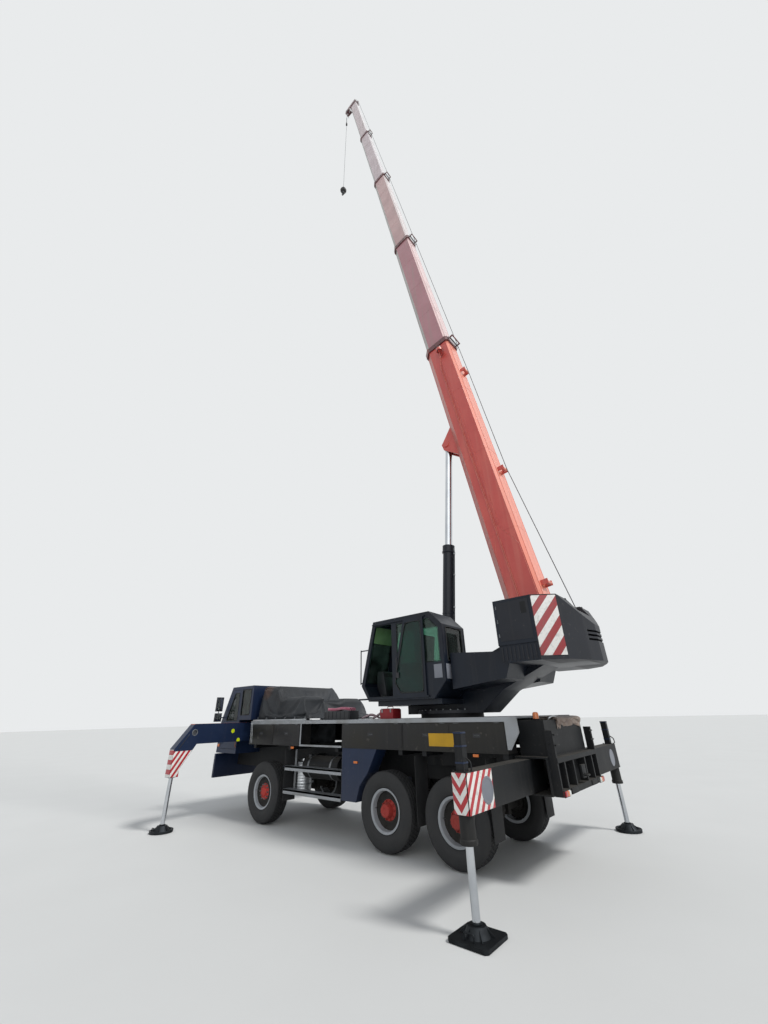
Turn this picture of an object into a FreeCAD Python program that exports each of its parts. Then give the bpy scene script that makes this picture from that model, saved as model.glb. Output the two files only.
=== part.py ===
import FreeCAD, Part
import math
import os
import re
import Sketcher

# A three-axle mobile crane on its outriggers, boom raised and extended.
# Millimetres and degrees. X points to the driver's end, Y to the left, Z up from the ground.
# The origin is on the ground under the middle of the whole machine.

# Driving sizes: name, value, what it is.
sizes = [
    # wheels and axles
    ("tyre_radius", 617, "tyre, unloaded"),
    ("tyre_width", 370, "widest part of the tyre"),
    ("bead_radius", 320, "seat of the tyre on the rim"),
    ("rim_width", 320, "over the flanges"),
    ("flange_thickness", 20, "barrel and wheel disc"),
    ("disc_inset", 70, "wheel disc from the wheel's middle"),
    ("axle_gap", 86, "axle housing's end short of the wheel's middle"),
    ("hub_cap_radius", 112, "cap on the hub"),
    ("hub_cap_reach", 165, "cap's face from the wheel's middle, driven axles"),
    ("front_cap_reach", 118, "cap's face from the wheel's middle, front axle"),
    ("stub_radius", 60, "stub axle"),
    ("stub_end", 75, "stub's end past the wheel's middle"),
    ("bore_gap", 0.5, "running gap of hubs and pins"),
    ("wheel_y", 1045, "wheel's middle from the centre line"),
    ("axle_front", 2650, "first axle"),
    ("axle_middle", -1200, "second axle"),
    ("axle_rear", -2700, "third axle"),
    ("axle_radius", 78, "half the height of the axle beam"),
    ("axle_gear_radius", 200, "final drive housing"),
    ("axle_gear_width", 300, "final drive housing"),
    ("kingpin_y", 790, "kingpin from the centre line"),
    ("kingpin_radius", 34, "kingpin"),
    ("fist_radius", 74, "axle's end round the kingpin"),
    ("fist_height", 170, "axle's end round the kingpin"),
    ("knuckle_lug", 40, "knuckle's upper and lower lug"),
    ("lug_gap", 6, "play between lugs and what they hold"),
    # frame
    ("rail_y", 420, "frame rail's middle from the centre line"),
    ("rail_width", 220, "frame rail"),
    ("rail_top", 1560, "top of the frame rails"),
    ("rail_height", 480, "frame rail"),
    ("nose_rail_top", 1350, "top of the rails under the driver's cab"),
    ("nose_rail_height", 330, "rails under the driver's cab"),
    ("box_wall", 20, "wall of the outrigger boxes"),
    ("beam_width", 220, "outrigger beam"),
    ("beam_height", 430, "outrigger beam"),
    ("beam_gap", 10, "play round each beam in its box"),
    ("beam_wall", 14, "outrigger beam"),
    ("beam_inner_end", 570, "inner end of the beams when out, from the centre line"),
    ("front_box_x", 3680, "middle of the front outrigger box"),
    ("front_box_z", 1862, "middle of the front beams"),
    ("front_box_half", 850, "half length of the front box"),
    ("rear_box_x", -4040, "middle of the rear outrigger box"),
    ("rear_box_z", 1300, "middle of the rear beams"),
    ("rear_box_half", 1050, "half length of the rear box"),
    ("front_jack_y", 2900, "front jacks when out"),
    ("rear_jack_y", 2850, "rear jacks when out"),
    ("elbow_y", 2480, "front beam's elbow when out"),
    ("leg_bottom_front", 1010, "lower end of the front legs"),
    ("leg_bottom_rear", 800, "lower end of the rear jack barrels"),
    ("leg_size", 200, "jack housing"),
    ("barrel_radius_jack", 92, "jack barrel"),
    ("jack_rod_radius", 46, "jack rod"),
    ("pad_radius", 235, "outrigger pad"),
    ("pad_plate", 30, "outrigger pad's plate"),
    ("pad_cup_radius", 95, "cup of the pad round the rod's ball"),
    ("pad_cup_height", 90, "cup of the pad"),
    ("tube_top_rear", 1950, "top of the square tube over the rear jacks"),
    ("tube_size", 110, "square tube over the rear jacks"),
    ("rear_frame_half", 980, "half width of the frame round the rear lamps"),
    ("rib_width", 50, "ribs of the frame round the rear lamps"),
    ("upright_top", 1900, "uprights at the rear corners"),
    ("rear_chest_half", 880, "half width of the chest over the rear outrigger box"),
    # deck and bodywork
    ("half_width", 1230, "half width of the carrier"),
    ("deck_top", 2100, "walking surface"),
    ("deck_plate", 30, "deck plate with its folded edge"),
    ("edge_height", 70, "bright edge strip of the deck"),
    ("edge_thickness", 6, "bright edge strip"),
    ("deck_rear", -3780, "rear edge of the deck"),
    ("deck_front", 3400, "front edge of the deck"),
    ("ring_hole", 780, "hole in the deck round the slewing ring"),
    ("panel_bottom", 1580, "lower edge of the side panels"),
    ("panel_depth", 320, "depth of the side lockers"),
    ("panel_split_rear", -1690, "joint between the rear lockers"),
    ("panel_split_front", -50, "front end of the middle locker"),
    ("bay_front", 1350, "front end of the open bay"),
    ("panel_joint", 8, "gap between lockers"),
    ("bearer_height", 80, "cross bearers under the lockers"),
    ("bearer_width", 90, "cross bearers"),
    # steps, tanks
    ("step_low", 740, "lower step"),
    ("step_high", 1180, "upper step"),
    ("step_rear", -40, "rear end of the steps"),
    ("step_front", 1840, "front end of the steps"),
    ("step_depth", 190, "tread of a step"),
    ("step_thickness", 36, "tread of a step"),
    ("hanger_width", 60, "hangers of the steps"),
    ("hanger_thickness", 10, "hangers of the steps"),
    ("tank_radius", 225, "fuel tank"),
    ("tank_gap", 20, "tank off the frame rail"),
    ("tank_length", 1150, "fuel tank"),
    ("tank_x", 900, "middle of the tanks"),
    ("tank_z", 1150, "tank's middle"),
    ("fender_front", -60, "front of the box ahead of the second wheel"),
    ("fender_rear", -470, "rear of the box at its foot"),
    ("fender_bottom", 680, "foot of the box"),
    ("engine_rear", 1780, "engine block"),
    ("engine_length", 1150, "engine block"),
    ("engine_width", 580, "engine block"),
    ("engine_bottom", 1150, "engine block"),
    ("engine_top", 1980, "engine block"),
    # driver's cab
    ("cab_rear", 3990, "driver's cab, rear wall of the lower part"),
    ("cab_length", 950, "driver's cab, rear wall to the windscreen's foot"),
    ("chin_reach", 40, "driver's cab, lower front edge ahead of the windscreen's foot"),
    ("brow_setback", 420, "driver's cab, roof's front edge behind the windscreen's foot"),
    ("cab_overhang", 540, "driver's cab, upper part back over the outrigger box"),
    ("shelf_gap", 33, "driver's cab over the outrigger box"),
    ("cab_floor", 1350, "driver's cab, underside"),
    ("cab_waist", 2090, "driver's cab, foot of the windscreen"),
    ("cab_roof", 2980, "driver's cab, top"),
    ("cab_wall", 40, "driver's cab wall"),
    ("frame_reach", 20, "front end of the frame past the windscreen's foot"),
    ("door_inset", 60, "driver's door, rear edge from the cab's rear wall"),
    ("door_setback", 160, "driver's door, front edge behind the windscreen"),
    ("door_foot", 100, "driver's door, foot over the cab's underside"),
    ("door_head", 80, "driver's door, head under the cab's top"),
    ("seat_y", 560, "driver's and passenger's seats from the centre line"),
    ("seat_width", 500, "driver's and passenger's seats"),
    ("door_gap", 6, "gap round the doors"),
    ("hinge_radius", 14, "door hinges"),
    ("glass_thickness", 6, "window glass"),
    ("bumper_depth", 130, "front bumper"),
    ("bumper_top", 1320, "front bumper"),
    ("bumper_bottom", 760, "front bumper"),
    ("lamp_radius", 80, "headlamps"),
    ("lamp_y", 860, "outer headlamps from the centre line"),
    ("lamp_step", 200, "outer to inner headlamps"),
    ("mirror_reach", 90, "mirrors out from the cab"),
    ("mirror_width", 190, "mirrors"),
    # soft cover on the deck
    ("cover_rear", 1200, "cover behind the cab"),
    ("cover_front", 3390, "cover behind the cab"),
    ("cover_half", 1100, "cover behind the cab"),
    ("cover_top", 2990, "cover behind the cab"),
    ("trough_half", 230, "trough in the cover for the lowered boom's cylinder"),
    ("trough_depth", 450, "trough in the cover"),
    ("trough_length", 1150, "trough in the cover, from its rear end"),
    # slewing frame
    ("slew_x", -2050, "slewing axis"),
    ("ring_radius", 640, "slewing ring"),
    ("pedestal_radius", 700, "pedestal under the ring"),
    ("ring_bottom", 2080, "top of the pedestal"),
    ("ring_height", 90, "slewing ring"),
    ("seat_gap", 0.3, "gap between sliding or turning faces that carry each other"),
    ("table_plate", 60, "base plate of the slewing frame"),
    ("table_front", 860, "base plate ahead of the slewing axis"),
    ("cheek_y", 330, "inner face of the slewing frame's cheeks"),
    ("cheek_thickness", 40, "cheeks of the slewing frame"),
    ("tail_rear", -5200, "rear end of the machine"),
    ("tail_bottom", 2900, "underside of the counterweight"),
    ("tail_top", 3950, "top of the counterweight"),
    ("tail_front", -4550, "front face of the rear block"),
    ("tail_half", 1200, "half width of the tail"),
    ("tail_bow", 300, "how far the tail's rear bows out"),
    ("tail_corner", 280, "tail's corners cut back from its sides"),
    ("tail_slope", 450, "fall of the tail's rear upper edge"),
    ("tail_strip", 280, "height of the set-back strip along the tail's foot"),
    ("vent_height", 34, "vent slots in the tail"),
    ("wing_front", -3860, "front face of the side housings"),
    ("body_half", 1080, "half width over the housings beside the boom's foot"),
    ("body_top", 3190, "housings beside the boom's foot"),
    ("body_bottom", 2560, "housings beside the boom's foot"),
    ("winch_x", -4810, "winch axis"),
    ("winch_z", 3560, "winch axis"),
    ("winch_radius", 150, "winch drum"),
    ("winch_flange", 200, "winch drum's flanges"),
    ("winch_half", 300, "half length of the drum"),
    # operator's cab
    ("crane_cab_inner", 410, "operator's cab, inner wall"),
    ("crane_cab_outer", 1240, "operator's cab, outer wall"),
    ("crane_cab_floor", 2420, "operator's cab, underside"),
    ("crane_cab_sill", 2720, "operator's cab, foot of the windscreen"),
    ("crane_cab_roof", 4010, "operator's cab, top"),
    ("crane_cab_front", -640, "operator's cab, foot of the windscreen"),
    ("crane_cab_toe", -850, "operator's cab, lower front edge"),
    ("crane_cab_brow", -980, "operator's cab, roof's front edge"),
    ("crane_cab_rear", -2760, "operator's cab, rear wall"),
    ("crane_cab_rake", 280, "operator's cab, chamfer of the rear edges"),
    ("crane_cab_wall", 36, "operator's cab wall"),
    ("slide_rear", -1500, "doorway of the operator's cab, rear edge"),
    ("slide_foot", 2500, "doorway of the operator's cab, foot"),
    ("slide_head", 3900, "doorway of the operator's cab, head"),
    ("slide_travel", 820, "travel of the sliding door"),
    ("slide_gap", 6, "sliding door off the wall"),
    ("slide_leaf", 26, "sliding door"),
    ("slide_frame", 55, "frame round the door's glass"),
    # luffing cylinder
    ("foot_x", -2000, "cylinder's lower pin"),
    ("foot_z", 2600, "cylinder's lower pin"),
    ("cylinder_stroke", 2240, "rod's travel from the raised boom to the flat one"),
    ("cylinder_barrel", 3230, "lower pin to the gland"),
    ("cylinder_radius", 132, "barrel"),
    ("cylinder_rod", 88, "rod"),
    ("cylinder_eye", 120, "eyes at both ends"),
    ("eye_width", 180, "eyes at both ends"),
    ("eye_pin", 55, "pins of the cylinder"),
    # boom, in its own frame: X along it from the pivot pin, Z up when it lies flat
    ("pivot_x", -3850, "boom's pivot"),
    ("pivot_z", 3050, "boom's pivot"),
    ("pivot_pin", 70, "boom's pivot pin"),
    ("pivot_boss", 150, "boss round the pivot pin"),
    ("boom_angle", 81, "boom's elevation"),
    ("boom_offset", 380, "boom's centre line over the pivot"),
    ("boom_height", 800, "base section"),
    ("boom_width", 560, "base section"),
    ("boom_wall", 10, "walls of all sections"),
    ("nest_height", 80, "each section lower than the one round it"),
    ("nest_width", 68, "each section narrower than the one round it"),
    ("upper_chamfer", 60, "upper corners"),
    ("lower_chamfer", 150, "lower corners"),
    ("nest_chamfer", 22, "each section's lower corners smaller than those of the one round it"),
    ("base_length", 9300, "pivot to the base section's head"),
    ("base_start", 260, "rear end of the base section's tube"),
    ("boom_stroke", 6500, "travel of each section"),
    ("head_step", 350, "each section's head past the one before, drawn in"),
    ("boom_lap", 1700, "length of a section kept in the one round it"),
    ("lap_step", 90, "each section keeps less than the one round it"),
    ("collar_height", 34, "collar at each section's head"),
    ("collar_length", 170, "collar at each section's head"),
    ("lug_x", 5700, "cylinder's upper pin along the boom"),
    ("lug_z", -272, "cylinder's upper pin under the boom's pivot line"),
    ("lug_thickness", 36, "lugs for the cylinder"),
    ("sheave_radius", 205, "sheaves at the tip"),
    ("sheave_width", 60, "sheaves at the tip"),
    ("groove", 20, "depth of the sheaves' grooves"),
    ("sheave_reach", 190, "sheaves past the last collar"),
    ("sheave_drop", 160, "lower sheave under the boom's pivot line"),
    ("nose_plate", 16, "side plates of the tip"),
    # hoist line and hook
    ("rope_radius", 9, "hoist rope"),
    ("rope_length", 9600, "sheave's axle to the rope's socket"),
    ("ball_radius", 175, "weight over the hook"),
    ("hook_radius", 75, "hook's bowl, to the middle of its section"),
    ("hook_section", 27, "half thickness of the hook"),
]
values = {name: value for name, value, note in sizes}

# Places that follow from the sizes.
derived = {
    "cab_nose": "cab_rear + cab_length",
    "cab_chin": "cab_nose + chin_reach",
    "cab_brow": "cab_nose - brow_setback",
    "cab_back": "cab_rear - cab_overhang",
    "cab_shelf": "front_box_z + beam_height / 2 + beam_gap + box_wall + shelf_gap",
    "nose_end": "cab_nose + frame_reach",
    "door_rear": "cab_rear + door_inset",
    "door_front": "cab_nose - door_setback",
    "door_bottom": "cab_floor + door_foot",
    "door_top": "cab_roof - door_head",
}

doc = FreeCAD.newDocument("MobileCrane")
sheet = doc.addObject("Spreadsheet::Sheet", "Sizes")
for row, (name, value, note) in enumerate(sizes, 1):
    sheet.set("A%d" % row, note)
    sheet.set("B%d" % row, str(value))
    sheet.setAlias("B%d" % row, name)
doc.recompute()

subParts = []
normals = {"x": (0, 1, 0, 90), "y": (1, 0, 0, -90), "z": (0, 0, 1, 0)}


def formula(text):
    """A formula in the sheet's words, as an expression on the sheet's cells."""
    def cell(match):
        word = match.group(0)
        if word in derived:
            return "(%s)" % formula(derived[word])
        return "Sizes." + word if word in values else word
    return re.sub(r"[a-z][a-z_]*", cell, str(text))


def bind(item, prop, text):
    item.setExpression(prop, formula(text))


def place(item, x=0, y=0, z=0):
    for axis, text in zip("xyz", (x, y, z)):
        bind(item, "Placement.Base." + axis, text)
    return item


def turn(item, axis, angle):
    item.Placement = FreeCAD.Placement(FreeCAD.Vector(), FreeCAD.Rotation(FreeCAD.Vector(*axis), 1))
    bind(item, "Placement.Rotation.Angle", angle)
    return item


def block(x, y, z):
    """A box between two planes along each axis."""
    item = doc.addObject("Part::Box", "Block")
    for prop, (low, high) in zip(("Length", "Width", "Height"), (x, y, z)):
        bind(item, prop, "(%s) - (%s)" % (high, low))
    return place(item, x[0], y[0], z[0])


def rod(axis, radius, low, high, first, second):
    """A cylinder along an axis; first and second are its other two coordinates, in X, Y, Z order."""
    item = doc.addObject("Part::Cylinder", "Rod")
    *direction, angle = normals[axis]
    item.Placement = FreeCAD.Placement(
        FreeCAD.Vector(), FreeCAD.Rotation(FreeCAD.Vector(*direction), angle))
    bind(item, "Radius", radius)
    bind(item, "Height", "(%s) - (%s)" % (high, low))
    spot = [first, second]
    spot.insert("xyz".index(axis), low)
    return place(item, *spot)


def draw(sketch, outline):
    """A closed outline of straight edges, each corner held from the sketch's origin."""
    count = len(outline)
    start = sketch.GeometryCount
    for index in range(count):
        ends = [2 * math.pi * (index + step) / count for step in (0, 1)]
        points = [FreeCAD.Vector(math.cos(end), math.sin(end), 0) for end in ends]
        sketch.addGeometry(Part.LineSegment(*points))
    for index in range(count):
        following = start + (index + 1) % count
        sketch.addConstraint(Sketcher.Constraint("Coincident", start + index, 2, following, 1))
    for index, corner in enumerate(outline):
        for kind, text in zip(("DistanceX", "DistanceY"), corner):
            held = sketch.addConstraint(Sketcher.Constraint(kind, -1, 1, start + index, 1, 1.0))
            sketch.setExpression("Constraints[%d]" % held, formula(text))


def sketched(plane, name, outlines):
    body = doc.addObject("PartDesign::Body", name)
    sketch = body.newObject("Sketcher::SketchObject", name + "Sketch")
    role = plane + "_Plane"
    face = [item for item in body.Origin.OriginFeatures if item.Role == role][0]
    sketch.AttachmentSupport = [(face, "")]
    sketch.MapMode = "FlatFace"
    for outline in outlines:
        draw(sketch, outline)
    return body, sketch


def plate(plane, low, high, *outlines):
    """Outlines in a plane, padded between two distances along the third axis. More than one
    outline leaves holes."""
    body, sketch = sketched(plane, "Plate", outlines)
    start = "-(%s)" % high if plane == "XZ" else low
    bind(sketch, "AttachmentOffset.Base.z", start)
    pad = body.newObject("PartDesign::Pad", "PlatePad")
    pad.Profile = sketch
    bind(pad, "Length", "(%s) - (%s)" % (high, low))
    return body


def turned(plane, axis, outline):
    """An outline turned all round one of its sketch's axes."""
    body, sketch = sketched(plane, "Turned", [outline])
    ring = body.newObject("PartDesign::Revolution", "TurnedRing")
    ring.Profile = sketch
    ring.ReferenceAxis = (sketch, [axis])
    ring.Angle = 360
    return body


def arc(radius, angles):
    """Corners on a circle round the outline's origin."""
    return [("(%s) * cos(%d)" % (radius, angle), "(%s) * sin(%d)" % (radius, angle)) for angle in angles]


def joined(*items):
    item = doc.addObject("Part::MultiFuse", "Joined")
    item.Shapes = list(items)
    return item


def cut(base, *tools):
    item = doc.addObject("Part::Cut", "Cut")
    item.Base = base
    item.Tool = tools[0] if len(tools) == 1 else joined(*tools)
    return item


def beside(*items):
    item = doc.addObject("Part::Compound", "Beside")
    item.Links = list(items)
    return item


def mirrored(item):
    """The same form on the other side of the centre line."""
    copy = doc.addObject("Part::Mirroring", "Mirrored")
    copy.Source = item
    copy.Normal = (0, 1, 0)
    return copy


def bothSides(item):
    return beside(item, mirrored(item))


def keep(item, name):
    item.Label = name
    subParts.append(item)
    return item


# Wheels

def wheelRim(reach):
    half = "rim_width / 2"
    barrel = "(bead_radius - flange_thickness)"
    return turned("YZ", "H_Axis", [
        ("disc_inset - flange_thickness", "stub_radius + bore_gap"), ("disc_inset - flange_thickness", barrel),
        ("-" + half, barrel), ("-" + half, "bead_radius"), (half, "bead_radius"), (half, barrel),
        ("disc_inset", barrel), ("disc_inset", "hub_cap_radius"), (reach, "hub_cap_radius"), (reach, 0),
        ("stub_end + lug_gap", 0), ("stub_end + lug_gap", "stub_radius + bore_gap"),
    ])


def wheelTyre():
    half = "tyre_width / 2"
    return turned("YZ", "H_Axis", [("-" + half, "bead_radius"), ("-" + half, "tyre_radius"),
                                   (half, "tyre_radius"), (half, "bead_radius")])


axles = [("front", "axle_front", "front_cap_reach"), ("middle", "axle_middle", "hub_cap_reach"),
         ("rear", "axle_rear", "hub_cap_reach")]
for axle, x, reach in axles:
    for side, sign, facing in (("left", "", 0), ("right", "-", 180)):
        for make, word in ((lambda: wheelRim(reach), "rim"), (wheelTyre, "tyre")):
            piece = turn(make(), (0, 0, 1), facing)
            keep(place(piece, x, sign + "wheel_y", "tyre_radius"), "%s_%s_%s" % (word, axle, side))


# Axles and knuckles

def axleBeam(x, end):
    tube = block((x + " - axle_radius", x + " + axle_radius"), ("-(%s)" % end, end),
                 ("tyre_radius - axle_radius", "tyre_radius + axle_radius"))
    gear = place(plate("XZ", "-axle_gear_width / 2", "axle_gear_width / 2",
                       arc("axle_gear_radius", range(20, 380, 40))), x, 0, "tyre_radius")
    stays = []
    for side in ("rail_y - rail_width / 4", "-rail_y - rail_width / 4"):
        for along in ("-(axle_radius + lug_gap + hanger_width)", "axle_radius + lug_gap"):
            stays.append(block(("%s + %s" % (x, along), "%s + %s + hanger_width" % (x, along)),
                               (side, side + " + rail_width / 2"),
                               ("tyre_radius - axle_radius", "rail_top - rail_height")))
        seat = "axle_radius + lug_gap + hanger_width"
        for low, high in (("axle_radius - lug_gap", "axle_radius + knuckle_lug"),
                          ("-axle_radius - knuckle_lug", "-axle_radius + lug_gap")):
            stays.append(block(("%s - (%s)" % (x, seat), "%s + %s" % (x, seat)),
                               (side, side + " + rail_width / 2"),
                               ("tyre_radius + (%s)" % low, "tyre_radius + (%s)" % high)))
    return joined(tube, gear, *stays)


def frontAxle():
    beam = axleBeam("axle_front", "kingpin_y - fist_radius / 2")
    fists = []
    bores = []
    for sign in ("", "-"):
        y = sign + "kingpin_y"
        low = "tyre_radius - fist_height / 2"
        high = "tyre_radius + fist_height / 2"
        fists.append(rod("z", "fist_radius", low, high, "axle_front", y))
        bores.append(rod("z", "kingpin_radius + bore_gap", low + " - lug_gap", high + " + lug_gap",
                         "axle_front", y))
    return cut(joined(beam, *fists), *bores)


def knuckle():
    half = "(fist_height / 2 + lug_gap)"
    pin = rod("z", "kingpin_radius", "tyre_radius - %s" % half, "tyre_radius + %s" % half,
              "axle_front", "kingpin_y")
    lugs = []
    for low in ("tyre_radius + %s" % half, "tyre_radius - %s - knuckle_lug" % half):
        high = "%s + knuckle_lug" % low
        lugs.append(rod("z", "fist_radius", low, high, "axle_front", "kingpin_y"))
        lugs.append(block(("axle_front - fist_radius", "axle_front + fist_radius"),
                          ("kingpin_y", "kingpin_y + fist_radius + knuckle_lug"), (low, high)))
    back = block(("axle_front - fist_radius", "axle_front + fist_radius"),
                 ("kingpin_y + fist_radius + lug_gap", "kingpin_y + fist_radius + knuckle_lug"),
                 ("tyre_radius - %s - knuckle_lug" % half, "tyre_radius + %s + knuckle_lug" % half))
    stub = rod("y", "stub_radius", "kingpin_y + fist_radius + lug_gap", "wheel_y + stub_end",
               "axle_front", "tyre_radius")
    return joined(pin, back, stub, *lugs)


def drivenAxle(x):
    stub = rod("y", "stub_radius", "-wheel_y - stub_end", "wheel_y + stub_end", x, "tyre_radius")
    return joined(axleBeam(x, "wheel_y - axle_gap"), stub)


keep(beside(frontAxle(), drivenAxle("axle_middle"), drivenAxle("axle_rear")), "axles")
leftKnuckle = keep(knuckle(), "knuckle_left")
keep(mirrored(leftKnuckle), "knuckle_right")


# Frame with its outrigger boxes and the pedestal of the slewing ring

def outriggerBox(x, z, half):
    inner_x = "(beam_width + 1.5 * beam_gap)"
    inner_z = "(beam_height / 2 + beam_gap)"
    shell = block(("%s - %s - box_wall" % (x, inner_x), "%s + %s + box_wall" % (x, inner_x)),
                  ("-" + half, half),
                  ("%s - %s - box_wall" % (z, inner_z), "%s + %s + box_wall" % (z, inner_z)))
    hollow = block(("%s - %s" % (x, inner_x), "%s + %s" % (x, inner_x)),
                   ("-%s - box_wall" % half, "%s + box_wall" % half),
                   ("%s - %s" % (z, inner_z), "%s + %s" % (z, inner_z)))
    return shell, hollow


def chassis():
    front_shell, front_hollow = outriggerBox("front_box_x", "front_box_z", "front_box_half")
    rear_shell, rear_hollow = outriggerBox("rear_box_x", "rear_box_z", "rear_box_half")
    box_reach = "(beam_width + 1.5 * beam_gap + box_wall)"
    pieces = [front_shell, rear_shell]
    for low in ("rail_y - rail_width / 2", "-rail_y - rail_width / 2"):
        side = (low, low + " + rail_width")
        pieces.append(block(("rear_box_x + " + box_reach, "front_box_x + " + box_reach), side,
                            ("rail_top - rail_height", "rail_top")))
        pieces.append(block(("front_box_x - %s" % box_reach, "nose_end"), side,
                            ("nose_rail_top - nose_rail_height", "nose_rail_top")))
        pieces.append(block(("front_box_x - %s" % box_reach, "front_box_x + %s" % box_reach), side,
                            ("rail_top - box_wall", "front_box_z - beam_height / 2 - beam_gap")))
    for x in ("axle_rear + 500", "axle_middle - 450", "step_rear + 120", "step_front - 180",
              "axle_front + 450"):
        pieces.append(block((x, x + " + bearer_width"), ("-half_width + 30", "half_width - 30"),
                            ("panel_bottom - bearer_height", "panel_bottom")))
    pieces.append(block(("deck_rear + 20", "deck_rear + 20 + bearer_width"),
                        ("-half_width + 30", "half_width - 30"),
                        ("panel_bottom - bearer_height", "panel_bottom")))
    pieces.append(rod("z", "pedestal_radius", "rail_top - rail_height / 2", "ring_bottom", "slew_x", 0))
    pieces.append(rod("z", "ring_radius", "ring_bottom", "ring_bottom + ring_height", "slew_x", 0))
    pieces += rearFrame("rear_box_x - " + box_reach)
    return joined(cut(joined(*pieces), front_hollow, rear_hollow), *wearPads())


def rearFrame(rear):
    """Frame with ribs for the rear lamps, corner uprights and the chest over the outrigger box."""
    bottom = "rear_box_z - 250"
    pieces = []
    for low, high in ((bottom, bottom + " + 80"), ("rear_box_z + 170", "rear_box_z + 235")):
        pieces.append(block((rear + " - 130", rear), ("-rear_frame_half", "rear_frame_half"), (low, high)))
    for share in (-1, -0.7, -0.3, 0.3, 0.7, 1):
        y = "(rear_frame_half - rib_width / 2) * %s - rib_width / 2" % share
        top = "upright_top" if abs(share) == 1 else "rear_box_z + 235"
        pieces.append(block((rear + " - 120", rear), (y, y + " + rib_width"), (bottom, top)))
    pieces.append(block((rear + " + box_wall", "rear_box_x + beam_width"),
                        ("-rear_chest_half", "rear_chest_half"),
                        ("rear_box_z + beam_height / 2 + beam_gap", "deck_top - 2 * deck_plate")))
    return pieces


def wearPads():
    """Pads at the mouths of the outrigger boxes, which the beams slide on."""
    pads = []
    rows = [("front_box_x", "front_box_z", "front_box_half"), ("rear_box_x", "rear_box_z", "rear_box_half")]
    for x, z, half in rows:
        for sign, near, far in (("", half + " - 150", half), ("-", "-" + half, "-" + half + " + 150")):
            middle = "%s %s (beam_width + beam_gap) / 2" % (x, "+" if sign == "" else "-")
            across = (middle + " - beam_width / 3", middle + " + beam_width / 3")
            low = "%s - beam_height / 2" % z
            high = "%s + beam_height / 2" % z
            pads.append(block(across, (near, far), (low + " - beam_gap", low + " - seat_gap")))
            pads.append(block(across, (near, far), (high + " + seat_gap", high + " + beam_gap")))
    return pads


keep(chassis(), "chassis_frame")


# Outrigger beams and jacks

def beamTube(x, z, outer):
    low_x = "%s - beam_width / 2" % x
    high_x = "%s + beam_width / 2" % x
    shell = block((low_x, high_x), ("beam_inner_end", outer),
                  ("%s - beam_height / 2" % z, "%s + beam_height / 2" % z))
    hollow = block((low_x + " + beam_wall", high_x + " - beam_wall"),
                   ("beam_inner_end - beam_wall", outer + " - beam_wall"),
                   ("%s - beam_height / 2 + beam_wall" % z, "%s + beam_height / 2 - beam_wall" % z))
    return shell, hollow


def rearBeam(x):
    shell, hollow = beamTube(x, "rear_box_z", "rear_jack_y - leg_size / 2")
    housing = block(("%s - leg_size / 2" % x, "%s + leg_size / 2" % x),
                    ("rear_jack_y - leg_size / 2", "rear_jack_y + leg_size / 2"),
                    ("rear_box_z - beam_height / 2", "rear_box_z + beam_height / 2"))
    barrel = rod("z", "barrel_radius_jack", "leg_bottom_rear", "rear_box_z", x, "rear_jack_y")
    tube = block(("%s - tube_size / 2" % x, "%s + tube_size / 2" % x),
                 ("rear_jack_y - tube_size / 2", "rear_jack_y + tube_size / 2"),
                 ("rear_box_z + beam_height / 2", "tube_top_rear"))
    bore = rod("z", "jack_rod_radius + bore_gap", "leg_bottom_rear - 50", "tube_top_rear - beam_wall",
               x, "rear_jack_y")
    body = cut(joined(cut(shell, hollow), housing, barrel, tube), bore)
    return body


def frontBeam(x):
    shell, hollow = beamTube(x, "front_box_z", "elbow_y")
    low = "front_box_z - beam_height / 2"
    high = "front_box_z + beam_height / 2"
    leg = plate("YZ", "%s - beam_width / 2" % x, "%s + beam_width / 2" % x, [
        ("elbow_y", low), ("elbow_y", high), ("elbow_y + 120", high),
        ("front_jack_y + leg_size / 2", "leg_bottom_front + 560"),
        ("front_jack_y + leg_size / 2", "leg_bottom_front"),
        ("front_jack_y - leg_size / 2", "leg_bottom_front"),
        ("front_jack_y - leg_size / 2", "leg_bottom_front + 160")])
    eye = rod("x", 52, "%s - beam_width" % x, "%s + beam_width" % x, "elbow_y + 90", "front_box_z + 30")
    bore = rod("z", "jack_rod_radius + bore_gap", "leg_bottom_front - 50", "leg_bottom_front + 560",
               x, "front_jack_y")
    return cut(joined(cut(shell, hollow), leg), eye, bore)


def jack(x, y, rod_top):
    shaft = rod("z", "jack_rod_radius", "pad_plate", rod_top, x, y)
    foot = rod("z", "pad_radius", 0, "pad_plate", x, y)
    cup = doc.addObject("Part::Cone", "Cup")
    bind(cup, "Radius1", "pad_radius * 0.62")
    bind(cup, "Radius2", "pad_cup_radius")
    bind(cup, "Height", "pad_cup_height")
    place(cup, x, y, "pad_plate")
    return joined(shaft, foot, cup)


outriggers = [
    ("front_left", "front_box_x + beam_width / 2 + beam_gap / 2"),
    ("front_right", "front_box_x - beam_width / 2 - beam_gap / 2"),
    ("rear_left", "rear_box_x + beam_width / 2 + beam_gap / 2"),
    ("rear_right", "rear_box_x - beam_width / 2 - beam_gap / 2"),
]
for where, x in outriggers:
    if where.startswith("front"):
        arm, leg = frontBeam(x), jack(x, "front_jack_y", "leg_bottom_front + 40")
    else:
        arm, leg = rearBeam(x), jack(x, "rear_jack_y", "rear_box_z - 20")
    if where.endswith("right"):
        arm, leg = mirrored(arm), mirrored(leg)
    keep(arm, "outrigger_beam_" + where)
    keep(leg, "outrigger_jack_" + where)


# Deck, lockers and bodywork

def deck():
    half = "half_width - edge_thickness"
    floor = block(("deck_rear", "deck_front"), ("-(%s)" % half, half), ("deck_top - deck_plate", "deck_top"))
    hole = rod("z", "ring_hole", "deck_top - 2 * deck_plate", "deck_top + deck_plate", "slew_x", 0)
    return cut(floor, hole)


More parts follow.
